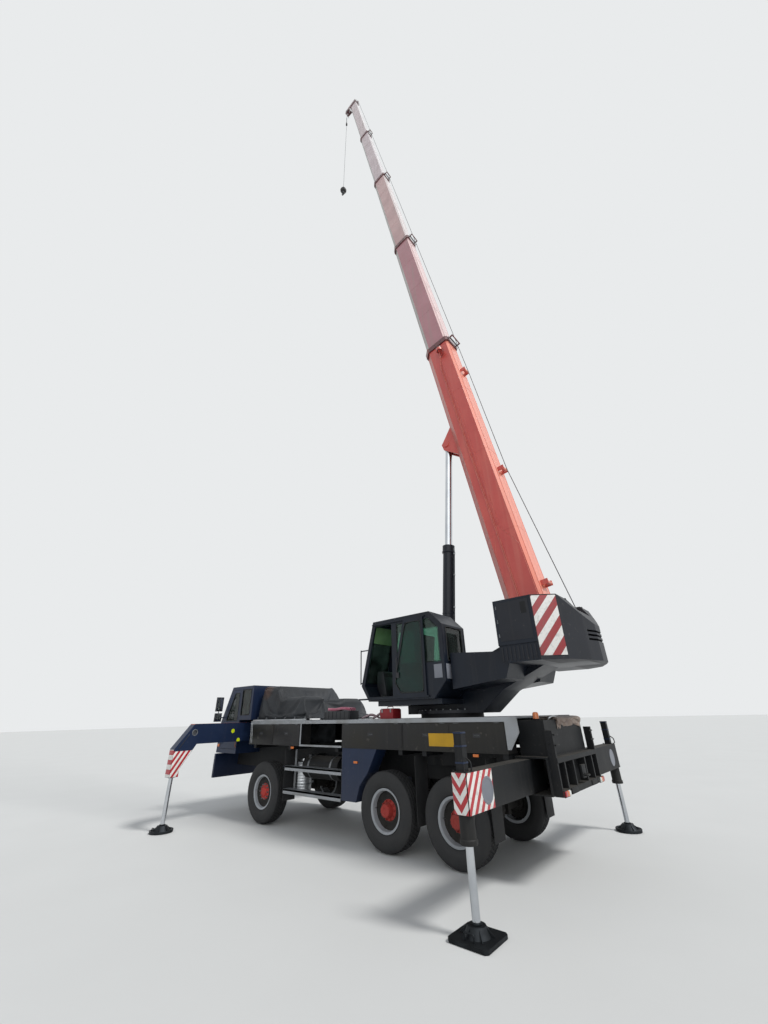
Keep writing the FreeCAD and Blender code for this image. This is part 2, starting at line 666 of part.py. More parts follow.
def deckEdge():
    strip = block(("deck_rear", "deck_front"), ("half_width - edge_thickness", "half_width"),
                  ("deck_top - edge_height", "deck_top"))
    corner = plate("XZ", "half_width - edge_thickness", "half_width", [
        ("deck_rear", "deck_top"), ("deck_rear", "panel_bottom + 60"),
        ("deck_rear - 60", "panel_bottom + 60"), ("deck_rear - 230", "deck_top - 220"),
        ("deck_rear - 215", "deck_top")])
    face = ("half_width - edge_thickness", "half_width")
    rail = block(("panel_split_front + panel_joint", "bay_front - panel_joint"), face,
                 ("panel_bottom", "panel_bottom + edge_height / 2"))
    post = block(("bay_front - panel_joint - edge_height * 0.6", "bay_front - panel_joint"), face,
                 ("panel_bottom", "deck_top - edge_height / 2"))
    return bothSides(joined(strip, corner, rail, post))


def lockers():
    rows = [("deck_rear", "panel_split_rear - panel_joint"),
            ("panel_split_rear", "panel_split_front"),
            ("bay_front", "deck_front")]
    items = []
    for rear, front in rows:
        items.append(block((rear, front), ("half_width - edge_thickness - panel_depth",
                                           "half_width - edge_thickness"),
                           ("panel_bottom", "deck_top - deck_plate")))
    return bothSides(beside(*items))


def fenders():
    box = plate("XZ", "half_width - 330", "half_width - 20", [
        ("fender_front", "fender_bottom"), ("fender_front", "panel_bottom"),
        ("axle_middle + 180", "panel_bottom"), ("axle_middle + 420", "tyre_radius + 560"),
        ("axle_middle + 640", "tyre_radius + 330"), ("fender_rear", "fender_bottom")])
    return bothSides(box)


def steps():
    inner = "half_width - 20 - step_depth"
    outer = "half_width - 20"
    pieces = []
    for z in ("step_low", "step_high"):
        pieces.append(block(("step_rear", "step_front"), (inner, outer), (z + " - step_thickness", z)))
    for x in ("step_rear + 120", "step_front - 180"):
        pieces.append(block((x, x + " + hanger_width"), (inner + " - hanger_thickness", inner),
                            ("step_low - step_thickness", "panel_bottom - bearer_height")))
    return joined(*pieces)


def tank():
    y = "rail_y + rail_width / 2 + tank_gap + tank_radius"
    barrel = rod("x", "tank_radius", "tank_x - tank_length / 2", "tank_x + tank_length / 2", y, "tank_z")
    straps = [block((x, x + " + 60"), ("rail_y + rail_width / 2", y),
                    ("tank_z + tank_radius - 60", "tank_z + tank_radius + 30"))
              for x in ("tank_x - tank_length / 3", "tank_x + tank_length / 3 - 60")]
    return joined(barrel, *straps)


keep(deck(), "deck")
keep(deckEdge(), "deck_edges")
keep(lockers(), "side_lockers")
keep(fenders(), "fender_boxes")
keep(bothSides(steps()), "side_steps")
keep(bothSides(tank()), "tanks")


def engine():
    pieces = [block(("engine_rear", "engine_rear + engine_length"), ("-engine_width / 2", "engine_width / 2"),
                    ("engine_bottom", "engine_top"))]
    for x in ("engine_rear + 120", "engine_rear + engine_length - 240"):
        pieces.append(block((x, x + " + 120"), ("-rail_y + rail_width / 2", "rail_y - rail_width / 2"),
                            ("rail_top - rail_height / 2", "rail_top - rail_height / 2 + 80")))
    return joined(*pieces)


keep(engine(), "engine")


# Driver's cab

def shellOutline(inset):
    """Side view of the driver's cab, or of its inside when inset is the wall."""
    return [("cab_rear + %s" % inset, "cab_floor + %s" % inset),
            ("cab_chin - %s" % inset, "cab_floor + %s" % inset),
            ("cab_nose - %s" % inset, "cab_waist"),
            ("cab_brow - %s" % inset, "cab_roof - %s" % inset),
            ("cab_back + %s" % inset, "cab_roof - %s" % inset),
            ("cab_back + %s" % inset, "cab_shelf + %s" % inset),
            ("cab_rear + %s" % inset, "cab_shelf + %s" % inset)]


def pillarAt(z, back):
    """A distance behind the windscreen's outer face, at a height."""
    return ("(cab_nose - (%s) - (%s - cab_waist) * (cab_nose - cab_brow) / (cab_roof - cab_waist))"
            % (back, z))


def innerFront(z):
    """Where the cab's front wall ends inside, at a height under the windscreen."""
    return ("cab_chin - cab_wall + (cab_nose - cab_chin) * (%s - cab_floor - cab_wall)"
            " / (cab_waist - cab_floor - cab_wall)" % z)


def screenOutline(inside, outside):
    """The windscreen's opening in side view, between two distances inside the cab's front."""
    low = "cab_waist + 90"
    high = "cab_roof - 100"
    return [(pillarAt(low, inside), low), (pillarAt(low, outside), low),
            (pillarAt(high, outside), high), (pillarAt(high, inside), high)]


def doorOutline(gap):
    return [("door_rear + %s" % gap, "door_bottom + %s" % gap),
            ("door_front - %s" % gap, "door_bottom + %s" % gap),
            ("door_front - %s" % gap, "cab_waist"),
            (pillarAt("door_top - %s" % gap, "door_setback + %s" % gap), "door_top - %s" % gap),
            ("door_rear + %s" % gap, "door_top - %s" % gap)]


def doorWindow():
    low = "cab_waist + 40"
    high = "door_top - 80"
    return [("door_rear + 70", low), (pillarAt(low, "door_setback + 80"), low),
            (pillarAt(high, "door_setback + 80"), high), ("door_rear + 70", high)]


def rearSideWindow():
    return [("cab_back + 90", "cab_shelf + 110"), ("door_rear - 60", "cab_shelf + 110"),
            ("door_rear - 60", "door_top"), ("cab_back + 90", "door_top")]


def backWindow(low, high):
    return block(("cab_back + (%s)" % low, "cab_back + (%s)" % high), ("-door_front / 6", "door_front / 6"),
                 ("cab_shelf + 150", "cab_roof - 180"))


def driverCab():
    across = ("-half_width - cab_wall", "half_width + cab_wall")
    shell = plate("XZ", "-half_width", "half_width", shellOutline("0"))
    inside = plate("XZ", "-half_width + cab_wall", "half_width - cab_wall", shellOutline("cab_wall"))
    screen = plate("XZ", "-half_width + 110", "half_width - 110", screenOutline("cab_wall * 3", "-cab_wall"))
    doorway = plate("XZ", *across, doorOutline("0"))
    side = plate("XZ", *across, rearSideWindow())
    return cut(shell, inside, screen, doorway, side, backWindow("-cab_wall", "2 * cab_wall"))


def driverGlass():
    mid = "(cab_wall - glass_thickness) / 2"
    front = plate("XZ", "-half_width + 110", "half_width - 110",
                  screenOutline(mid + " + glass_thickness * 1.05", mid))
    side = plate("XZ", "half_width - glass_thickness - " + mid, "half_width - " + mid, rearSideWindow())
    return beside(front, backWindow(mid, mid + " + glass_thickness"), side, mirrored(side))


def hinges(owner):
    """Halves of the door hinges: the door carries the lower knuckle, the cab the upper one."""
    x = "door_front"
    y = "half_width + hinge_radius"
    halves = []
    for z in ("door_bottom + 120", "cab_waist - 180"):
        if owner == "door":
            low, high, strap = z, z + " + 50", (x + " - 90", x)
        else:
            low, high, strap = z + " + 50 + seat_gap", z + " + 100", (x, x + " + 90")
        halves.append(rod("z", "hinge_radius", low, high, x, y))
        halves.append(block(strap, ("half_width - 2", "half_width + hinge_radius * 0.6"), (low, high)))
    if owner == "cab":
        halves += [mirrored(half) for half in halves]
    return halves


def driverDoor():
    leaf = plate("XZ", "half_width - cab_wall", "half_width", doorOutline("door_gap"), doorWindow())
    return joined(leaf, *hinges("door"))


def driverDoorGlass():
    middle = "half_width - cab_wall / 2"
    return plate("XZ", middle, middle + " + glass_thickness", doorWindow())


def seat(y):
    side = (y + " - seat_width / 2", y + " + seat_width / 2")
    cushion = block(("cab_rear + 160", "cab_rear + 600"), side, ("cab_floor + 420", "cab_floor + 540"))
    rest = plate("XZ", side[0], side[1], [
        ("cab_rear + 90", "cab_floor + 430"), ("cab_rear + 190", "cab_floor + 430"),
        ("cab_rear + 130", "cab_floor + 1160"), ("cab_rear + 40", "cab_floor + 1160")])
    post = block(("cab_rear + 200", "cab_rear + 560"),
                 (y + " - seat_width * 0.36", y + " + seat_width * 0.36"),
                 ("cab_floor + cab_wall", "cab_floor + 420"))
    return joined(cushion, rest, post)


def driverInside():
    dash = plate("XZ", "-half_width + cab_wall + 20", "half_width - cab_wall - 20", [
        ("cab_nose - 320", "cab_waist - 130"), (innerFront("cab_waist - 420"), "cab_waist - 420"),
        (innerFront("cab_waist - 60"), "cab_waist - 60"), ("cab_nose - cab_wall - 200", "cab_waist - 20")])
    column = plate("XZ", "seat_y - 30", "seat_y + 30", [
        ("cab_nose - 395", "cab_waist - 60"), ("cab_nose - 350", "cab_waist - 35"),
        ("cab_nose - 200", "cab_waist - 190"), ("cab_nose - 250", "cab_waist - 225")])
    corners = range(0, 360, 24)
    wheel = plate("XY", -14, 14, arc(231, corners), arc(199, corners))
    spoke = plate("XY", -7, 7, [(-210, -20), (210, -20), (210, 20), (-210, 20)])
    boss = block((-38, 38), (-38, 38), (-110, 12))
    steering = [place(turn(item, (0, -1, 0), 35), "cab_nose - 370", "seat_y", "cab_waist - 25")
                for item in (wheel, spoke)]
    hub = place(turn(beside(boss), (0, -1, 0), 35), "cab_nose - 370", "seat_y", "cab_waist - 25")
    return beside(joined(dash, column, hub, *steering), seat("-seat_y"), seat("seat_y"))


def bumper():
    bar = plate("XY", "bumper_bottom", "bumper_top", [
        ("nose_end", "-half_width"), ("nose_end + bumper_depth - 60", "-half_width"),
        ("nose_end + bumper_depth", "-half_width + 160"), ("nose_end + bumper_depth", "half_width - 160"),
        ("nose_end + bumper_depth - 60", "half_width"), ("nose_end", "half_width")])
    eye = block(("nose_end + bumper_depth - 20", "nose_end + bumper_depth + 20"), (-70, 70),
                ("bumper_bottom + 160", "bumper_bottom + 300"))
    return joined(bar, eye)


def lamps():
    items = []
    for y in ("lamp_y", "lamp_y - lamp_step"):
        for side in ("", "-"):
            items.append(rod("x", "lamp_radius", "nose_end + bumper_depth", "nose_end + bumper_depth + 14",
                             "%s(%s)" % (side, y), "bumper_bottom + 330"))
    rear = "rear_box_x - beam_width - 1.5 * beam_gap - box_wall - 130"
    for side in ("-rear_frame_half", "rear_frame_half - 220"):
        items.append(block((rear + " - 26", rear), (side, side + " + 220"),
                           ("rear_box_z - 245", "rear_box_z - 175")))
    return beside(*items)


def mirrors():
    """Two glasses on one bar, held at the foot of the front pillar."""
    x = "(door_front + 45)"
    middle = "(half_width + mirror_reach + mirror_width / 2)"
    pieces = [rod("y", 14, "half_width - cab_wall / 2", middle, x, "cab_waist + 120"),
              rod("z", 11, "cab_waist + 30", "cab_waist + 620", x, middle)]
    for low, high in (("cab_waist + 20", "cab_waist + 230"), ("cab_waist + 280", "cab_waist + 640")):
        pieces.append(block((x + " - 20", x + " + 20"),
                            (middle + " - mirror_width / 2", middle + " + mirror_width / 2"), (low, high)))
    item = joined(*pieces)
    return [item, mirrored(item)]


keep(joined(driverCab(), *mirrors(), *hinges("cab")), "driver_cab")
keep(driverGlass(), "driver_cab_glass")
door = keep(driverDoor(), "driver_door_left")
keep(mirrored(door), "driver_door_right")
pane = keep(driverDoorGlass(), "driver_door_glass_left")
keep(mirrored(pane), "driver_door_glass_right")
keep(driverInside(), "driver_seats_and_dash")
keep(bumper(), "front_bumper")
keep(lamps(), "lamps")


def softCover():
    heap = plate("XZ", "-cover_half", "cover_half", [
        ("cover_rear", "deck_top + seat_gap"), ("cover_front", "deck_top + seat_gap"),
        ("cover_front", "cover_top - 60"), ("cover_front - 80", "cover_top"),
        ("cover_rear + 1300", "cover_top - 20"), ("cover_rear + 520", "cover_top - 370"),
        ("cover_rear + 50", "cover_top - 760")])
    trough = block(("cover_rear - 10", "cover_rear + trough_length"), ("-trough_half", "trough_half"),
                   ("cover_top - trough_depth", "cover_top + 10"))
    return cut(heap, trough)


keep(softCover(), "soft_cover")


# Slewing frame, tail and winch

table_bottom = "ring_bottom + ring_height + seat_gap"


def slewingFrame():
    cheek = plate("XZ", "cheek_y", "cheek_y + cheek_thickness", [
        ("slew_x + table_front", table_bottom), ("slew_x + table_front", table_bottom + " + 230"),
        ("foot_x + 260", "foot_z + 260"), ("foot_x - 260", "foot_z + 300"),
        ("pivot_x + 520", "pivot_z + 180"), ("pivot_x + 130", "pivot_z + 330"),
        ("pivot_x - 190", "pivot_z + 330"), ("tail_rear + 160", "tail_bottom + 330"),
        ("tail_rear + 160", "tail_bottom"), ("pivot_x - 420", "tail_bottom"),
        ("pivot_x + 420", "tail_bottom - 360"), ("slew_x - ring_radius - 260", table_bottom)])
    inner_lug = plate("XZ", "eye_width / 2 + lug_gap", "eye_width / 2 + lug_gap + lug_thickness", [
        ("foot_x + 190", table_bottom), ("foot_x + 110", "foot_z - 60"), ("foot_x + 110", "foot_z + 50"),
        ("foot_x + 50", "foot_z + 110"), ("foot_x - 50", "foot_z + 110"), ("foot_x - 110", "foot_z + 50"),
        ("foot_x - 110", "foot_z - 60"), ("foot_x - 190", table_bottom)])
    base = block(("slew_x - ring_radius - 250", "slew_x + table_front"), ("-cheek_y", "cheek_y"),
                 (table_bottom, table_bottom + " + table_plate"))
    wide = rod("z", "ring_radius + 60", table_bottom, table_bottom + " + table_plate", "slew_x", 0)
    belly = plate("XZ", "-cheek_y", "cheek_y", [
        ("slew_x - ring_radius - 260", table_bottom), ("slew_x - ring_radius - 260", table_bottom + " + 60"),
        ("pivot_x + 420", "tail_bottom - 300"), ("pivot_x - 420", "tail_bottom + 60"),
        ("tail_rear + 170", "tail_bottom + 60"), ("tail_rear + 170", "tail_bottom"),
        ("pivot_x - 420", "tail_bottom"), ("pivot_x + 420", "tail_bottom - 360")])
    arm = block(("crane_cab_rear + 200", "crane_cab_toe - 150"),
                ("cheek_y + cheek_thickness", "crane_cab_outer - 120"),
                ("crane_cab_floor - 90", "crane_cab_floor"))
    pins = [rod("y", "pivot_pin", "-cheek_y - cheek_thickness", "cheek_y + cheek_thickness",
                "pivot_x", "pivot_z"),
            rod("y", "eye_pin", "-eye_width / 2 - lug_gap - lug_thickness - 20",
                "eye_width / 2 + lug_gap + lug_thickness + 20", "foot_x", "foot_z")]
    return joined(cheek, mirrored(cheek), inner_lug, mirrored(inner_lug), base, wide, belly, arm, *pins)


def counterweight():
    half = [("tail_front", "tail_half"), ("tail_rear + tail_bow", "tail_half - tail_corner"),
            ("tail_rear + tail_bow / 3", "tail_half * 0.375"), ("tail_rear", "tail_half * 0.12")]
    body = plate("XY", "tail_bottom", "tail_top", half + [(x, "-(%s)" % y) for x, y in reversed(half)])
    slope = plate("XZ", "-tail_half - 10", "tail_half + 10", [
        ("tail_rear + tail_bow", "tail_top"), ("tail_rear - 40", "tail_top - tail_slope * (1 + 40 / tail_bow)"),
        ("tail_rear - 40", "tail_top + 40"), ("tail_rear + tail_bow", "tail_top + 40")])
    bay = block(("tail_rear + 160", "tail_front + 20"),
                ("-cheek_y - cheek_thickness", "cheek_y + cheek_thickness"),
                ("tail_bottom - 20", "tail_top + 20"))
    vents = [block(("tail_rear - 10", "tail_rear + 110"), ("-tail_half * 0.32", "tail_half * 0.32"),
                   ("tail_bottom + tail_strip + %d" % up, "tail_bottom + tail_strip + %d + vent_height" % up))
             for up in (40, 110, 180)]
    return cut(body, slope, bay, *vents)


def sideHousings():
    inner = "cheek_y + cheek_thickness"
    upper = plate("XZ", inner, "tail_half", [
        ("tail_front", "tail_bottom + tail_strip"), ("tail_front", "tail_top"), ("wing_front", "tail_top"),
        ("wing_front", "tail_bottom + tail_strip")])
    lower = plate("XZ", inner, "tail_half - 25", [
        ("tail_front", "tail_bottom"), ("tail_front", "tail_bottom + tail_strip"),
        ("wing_front", "tail_bottom + tail_strip"), ("wing_front", "tail_bottom + 120"),
        ("wing_front - 120", "tail_bottom")])
    body = plate("XZ", inner, "body_half", [
        ("crane_cab_rear - 40", "body_bottom"), ("crane_cab_rear - 40", "body_top"),
        ("wing_front", "body_top - 80"), ("wing_front - 120", "tail_bottom + 60"),
        ("wing_front", "body_bottom + 120")])
    return bothSides(joined(upper, lower, body))


def winch():
    drum = rod("y", "winch_radius", "-winch_half", "winch_half", "winch_x", "winch_z")
    flanges = [rod("y", "winch_flange", y, y + " + 16", "winch_x", "winch_z")
               for y in ("-winch_half", "winch_half - 16")]
    shaft = rod("y", 50, "-cheek_y - cheek_thickness", "cheek_y + cheek_thickness", "winch_x", "winch_z")
    return joined(drum, shaft, *flanges)


frame = slewingFrame()
keep(frame, "slewing_frame")
keep(counterweight(), "counterweight")
keep(sideHousings(), "side_housings")
keep(winch(), "winch")


# Operator's cab

def craneCabOutline(inset):
    return [("crane_cab_toe - %s" % inset, "crane_cab_floor + %s" % inset),
            ("crane_cab_front - %s" % inset, "crane_cab_sill"),
            ("crane_cab_brow - %s" % inset, "crane_cab_roof - %s" % inset),
            ("crane_cab_rear + crane_cab_rake", "crane_cab_roof - %s" % inset),
            ("crane_cab_rear + %s" % inset, "crane_cab_roof - crane_cab_rake"),
            ("crane_cab_rear + %s" % inset, "crane_cab_floor + crane_cab_rake"),
            ("crane_cab_rear + crane_cab_rake", "crane_cab_floor + %s" % inset)]


def frontAt(z):
    """Where the windscreen's outer face is at a height."""
    return ("crane_cab_front - (%s - crane_cab_sill) * (crane_cab_front - crane_cab_brow)"
            " / (crane_cab_roof - crane_cab_sill)" % z)


def craneScreen(inside, outside):
    low = "(crane_cab_sill + 60)"
    high = "(crane_cab_roof - 90)"
    return [("%s - %s" % (frontAt(low), inside), low), ("%s - %s" % (frontAt(low), outside), low),
            ("%s - %s" % (frontAt(high), outside), high), ("%s - %s" % (frontAt(high), inside), high)]


def slideOutline(grow):
    foot = "(slide_foot - %s)" % grow
    sill = "crane_cab_sill"
    head = "(slide_head + %s)" % grow
    return [("slide_rear - %s" % grow, foot), ("crane_cab_front - 230 + %s" % grow, foot),
            ("crane_cab_front - 90 + %s" % grow, sill), (frontAt(head) + " - 90 + %s" % grow, head),
            ("slide_rear - %s" % grow, head)]


def quarterWindow():
    return [("crane_cab_rear + 90", "crane_cab_sill + 330"), ("slide_rear - 130", "crane_cab_sill + 330"),
            ("slide_rear - 130", "slide_head - 20"), ("crane_cab_rear + 300", "slide_head - 20"),
            ("crane_cab_rear + 90", "slide_head - 230")]


def craneCab():
    shell = plate("XZ", "crane_cab_inner", "crane_cab_outer", craneCabOutline("0"))
    inside = plate("XZ", "crane_cab_inner + crane_cab_wall", "crane_cab_outer - crane_cab_wall",
                   craneCabOutline("crane_cab_wall"))
    screen = plate("XZ", "crane_cab_inner + 70", "crane_cab_outer - 70",
                   craneScreen("3 * crane_cab_wall", "-crane_cab_wall"))
    doorway = plate("XZ", "crane_cab_outer - 2 * crane_cab_wall", "crane_cab_outer + crane_cab_wall",
                    slideOutline("0"))
    quarter = plate("XZ", "crane_cab_outer - 2 * crane_cab_wall", "crane_cab_outer + crane_cab_wall",
                    quarterWindow())
    far = plate("XZ", "crane_cab_inner - crane_cab_wall", "crane_cab_inner + 2 * crane_cab_wall",
                quarterWindow())
    far_front = plate("XZ", "crane_cab_inner - crane_cab_wall", "crane_cab_inner + 2 * crane_cab_wall",
                      farWindow())
    back = block(("crane_cab_rear - crane_cab_wall", "crane_cab_rear + 2 * crane_cab_wall"),
                 ("crane_cab_inner + 120", "crane_cab_outer - 120"),
                 ("crane_cab_sill + 330", "crane_cab_roof - crane_cab_rake - 30"))
    roof = block(("crane_cab_brow - 700", "crane_cab_brow - 120"),
                 ("crane_cab_inner + 120", "crane_cab_outer - 120"),
                 ("crane_cab_roof - 2 * crane_cab_wall", "crane_cab_roof + crane_cab_wall"))
    body = cut(shell, inside, screen, doorway, quarter, far, far_front, back, roof)
    rails = [block(("slide_rear - slide_travel - 60", frontAt(z) + " - 20"),
                   ("crane_cab_outer", "crane_cab_outer + slide_gap + slide_leaf"), (z, z + " + 30"))
             for z in ("(slide_foot - 50 - seat_gap)", "(slide_head + 20 + seat_gap)")]
    return joined(body, *rails, *handrails())


def farWindow():
    head = "(slide_head - 20)"
    return [("slide_rear", "crane_cab_sill + 60"), ("crane_cab_front - 130", "crane_cab_sill + 60"),
            (frontAt(head) + " - 110", head), ("slide_rear", head)]


def craneGlass():
    mid = "(crane_cab_wall - glass_thickness) / 2"
    near = ("crane_cab_outer - glass_thickness - " + mid, "crane_cab_outer - " + mid)
    farther = ("crane_cab_inner + " + mid, "crane_cab_inner + glass_thickness + " + mid)
    items = [
        plate("XZ", "crane_cab_inner + 70", "crane_cab_outer - 70",
              craneScreen(mid + " + glass_thickness", mid)),
        plate("XZ", near[0], near[1], quarterWindow()),
        plate("XZ", farther[0], farther[1], quarterWindow()),
        plate("XZ", farther[0], farther[1], farWindow()),
        block(("crane_cab_rear + " + mid, "crane_cab_rear + glass_thickness + " + mid),
              ("crane_cab_inner + 120", "crane_cab_outer - 120"),
              ("crane_cab_sill + 330", "crane_cab_roof - crane_cab_rake - 30")),
        block(("crane_cab_brow - 700", "crane_cab_brow - 120"),
              ("crane_cab_inner + 120", "crane_cab_outer - 120"),
              ("crane_cab_roof - glass_thickness - " + mid, "crane_cab_roof - " + mid)),
    ]
    return beside(*items)


def moved(outline, along):
    return [("(%s) - %s" % (x, along), z) for x, z in outline]


def slidingDoor():
    low = "crane_cab_outer + slide_gap"
    return plate("XZ", low, low + " + slide_leaf", moved(slideOutline("20"), "slide_travel"),
                 moved(slideOutline("(20 - slide_frame)"), "slide_travel"))


def slidingGlass():
    low = "crane_cab_outer + slide_gap + 8"
    return plate("XZ", low, low + " + glass_thickness",
                 moved(slideOutline("(20 - slide_frame)"), "slide_travel"))


def operatorInside():
    mid = "(crane_cab_inner + crane_cab_outer) / 2"
    side = (mid + " - 240", mid + " + 240")
    floor = "crane_cab_floor + crane_cab_wall"
    seat = block(("crane_cab_toe - 1250", "crane_cab_toe - 750"), side, (floor + " + 380", floor + " + 490"))
    rest = plate("XZ", side[0], side[1], [
        ("crane_cab_toe - 1330", floor + " + 400"), ("crane_cab_toe - 1220", floor + " + 400"),
        ("crane_cab_toe - 1300", floor + " + 1180"), ("crane_cab_toe - 1390", floor + " + 1180")])
    post = block(("crane_cab_toe - 1180", "crane_cab_toe - 820"), (mid + " - 170", mid + " + 170"),
                 (floor, floor + " + 380"))
    arms = []
    for y in (mid + " - 325", mid + " + 250"):
        arms.append(block(("crane_cab_toe - 1150", "crane_cab_toe - 700"), (y, y + " + 75"),
                          (floor + " + 560", floor + " + 640")))
        arms.append(rod("z", 14, floor + " + 640", floor + " + 790", "crane_cab_toe - 760", y + " + 37"))
        arms.append(block(("crane_cab_toe - 1100", "crane_cab_toe - 1000"), (y + " - 10", y + " + 85"),
                          (floor + " + 380", floor + " + 560")))
    console = plate("XZ", "crane_cab_inner + crane_cab_wall", mid + " + 60", [
        ("crane_cab_toe - 190", floor), ("crane_cab_toe - 10 - crane_cab_wall", floor),
        ("crane_cab_front - 90 - crane_cab_wall", "crane_cab_sill"),
        ("crane_cab_front - 140", "crane_cab_sill + 300"), ("crane_cab_front - 300", "crane_cab_sill + 300")])
    return beside(joined(seat, rest, post, *arms), console)


def handrails():
    bars = []
    for y in ("crane_cab_outer - 40",):
        bars.append(rod("z", 12, "crane_cab_sill + 40", "crane_cab_sill + 740", "crane_cab_front + 60", y))
        for z in ("crane_cab_sill + 60", "crane_cab_sill + 720"):
            bars.append(rod("x", 12, frontAt(z) + " - 5", "crane_cab_front + 60", y, z))
    return bars


keep(craneCab(), "operator_cab")
keep(craneGlass(), "operator_cab_glass")
keep(slidingDoor(), "operator_door")
keep(slidingGlass(), "operator_door_glass")
keep(operatorInside(), "operator_seat_and_console")


# Luffing cylinder, along its own axis from the lower pin, then leaned into place

# the upper pin, carried by the raised boom's lugs
upper_x = "(pivot_x + lug_x * cos(boom_angle) - lug_z * sin(boom_angle))"
upper_z = "(pivot_z + lug_x * sin(boom_angle) + lug_z * cos(boom_angle))"
cylinder_length = "sqrt((%s - foot_x)^2 + (%s - foot_z)^2)" % (upper_x, upper_z)
cylinder_lean = "atan2(foot_x - %s; %s - foot_z)" % (upper_x, upper_z)


def leaned(item):
    turn(item, (0, -1, 0), cylinder_lean)
    return place(item, "foot_x", 0, "foot_z")


def cylinderBarrel():
    barrel = rod("z", "cylinder_radius", "cylinder_eye + 60", "cylinder_barrel", 0, 0)
    neck = rod("z", "eye_width / 2 - 2", 0, "cylinder_eye + 70", 0, 0)
    gland = rod("z", "cylinder_radius + 14", "cylinder_barrel - 160", "cylinder_barrel", 0, 0)
    eye = rod("y", "cylinder_eye", "-eye_width / 2", "eye_width / 2", 0, 0)
    bore = rod("z", "cylinder_rod + bore_gap", "cylinder_eye + 80", "cylinder_barrel + 10", 0, 0)
    hole = rod("y", "eye_pin + bore_gap", "-eye_width", "eye_width", 0, 0)
    pipe = rod("z", 17, "cylinder_eye + 160", "cylinder_barrel - 160", "-cylinder_radius - 26", 0)
    clips = [block(("-cylinder_radius - 30", 0), (-12, 12), (z, z + " + 40"))
             for z in ("cylinder_eye + 180", "cylinder_barrel / 2", "cylinder_barrel - 240")]
    return cut(joined(barrel, neck, gland, eye, pipe, *clips), bore, hole)


def cylinderRod():
    shaft = rod("z", "cylinder_rod", "cylinder_eye + 90 + cylinder_stroke", cylinder_length, 0, 0)
    eye = rod("y", "cylinder_eye", "-eye_width / 2", "eye_width / 2", 0, cylinder_length)
    return joined(shaft, eye)


keep(leaned(cylinderBarrel()), "luff_cylinder_barrel")
keep(leaned(cylinderRod()), "luff_cylinder_rod")


# Boom

def raised(item):
    turn(item, (0, -1, 0), "boom_angle")
    return place(item, "pivot_x", 0, "pivot_z")


def sectionOutline(nest, grow):
    """Cross section of a boom section: nest counts the sections round it, grow is outwards."""
    half = "(boom_width / 2 - %s * nest_width / 2 + %s)" % (nest, grow)
    up = "(boom_height / 2 - %s * nest_height / 2 + %s)" % (nest, grow)
    low = "boom_offset - " + up
    high = "boom_offset + " + up
    lower = "(lower_chamfer - %s * nest_chamfer)" % nest
    upper = "(upper_chamfer - %s * nest_chamfer / 2)" % nest
    right = [(half + " - " + lower, low), (half, low + " + " + lower),
             (half, high + " - " + upper), (half + " - " + upper, high)]
    left = [("-(%s)" % y, z) for y, z in reversed(right)]
    return right + left


def sectionTube(nest, start, end):
    return plate("YZ", start, end, sectionOutline(nest, "0"), sectionOutline(nest, "-boom_wall"))


def collar(nest, end):
    return plate("YZ", end + " - collar_length", end, sectionOutline(nest, "collar_height"),
                 sectionOutline(nest, "-boom_wall"))


def slidePads(nest, end):
    """Pads under and over the next section, at the mouth of this one."""
    pads = []
    gap = "(nest_height / 2 - boom_wall)"
    inner = "(boom_height / 2 - %d * nest_height / 2 - boom_wall)" % nest
    for low, high in (("boom_offset - %s" % inner, "boom_offset - %s + %s - seat_gap" % (inner, gap)),
                      ("boom_offset + %s - %s + seat_gap" % (inner, gap), "boom_offset + %s" % inner)):
        pads.append(block((end + " - collar_length", end + " - 20"), ("-boom_width / 9", "boom_width / 9"),
                          (low, high)))
    return pads


def ropeFrame(nest, end):
    """Frame on the back of a section's head, which the hoist rope runs through."""
    half = "(boom_width / 2 - %d * nest_width / 2 - 60)" % nest
    top = "(boom_offset + boom_height / 2 - %d * nest_height / 2 + collar_height)" % nest
    along = (end + " - 90", end + " - 55")
    posts = [block(along, (y, y + " + 30"), (top + " - 5", top + " + 160")) for y in ("-" + half, half + " - 30")]
    return posts + [block(along, ("-" + half, half), (top + " + 130", top + " + 160"))]


def baseFittings():
    """Doubling plates at the foot, edges along both sides and the work lamp under the head."""
    low = "boom_offset - boom_height / 2 + lower_chamfer + 20"
    high = "boom_offset + boom_height / 2 - upper_chamfer - 20"
    side = "boom_width / 2"
    doubler = plate("XZ", side + " - 1", side + " + 8", [
        ("base_start + 40", low), ("base_start + 1900", low), ("base_start + 2500", "boom_offset"),
        ("base_start + 1900", high), ("base_start + 40", high)])
    edge = block(("base_start + 2500", "base_length - collar_length - 20"), (side + " - 1", side + " + 12"),
                 ("boom_offset + 20", "boom_offset + 50"))
    bracket = block(("base_length - 520", "base_length - 480"), (side + " - 2", side + " + 70"),
                    ("boom_offset + 90", "boom_offset + 130"))
    lamp = rod("x", 85, "base_length - 560", "base_length - 430", side + " + 130", "boom_offset + 110")
    return [doubler, mirrored(doubler), edge, mirrored(edge), bracket, lamp]


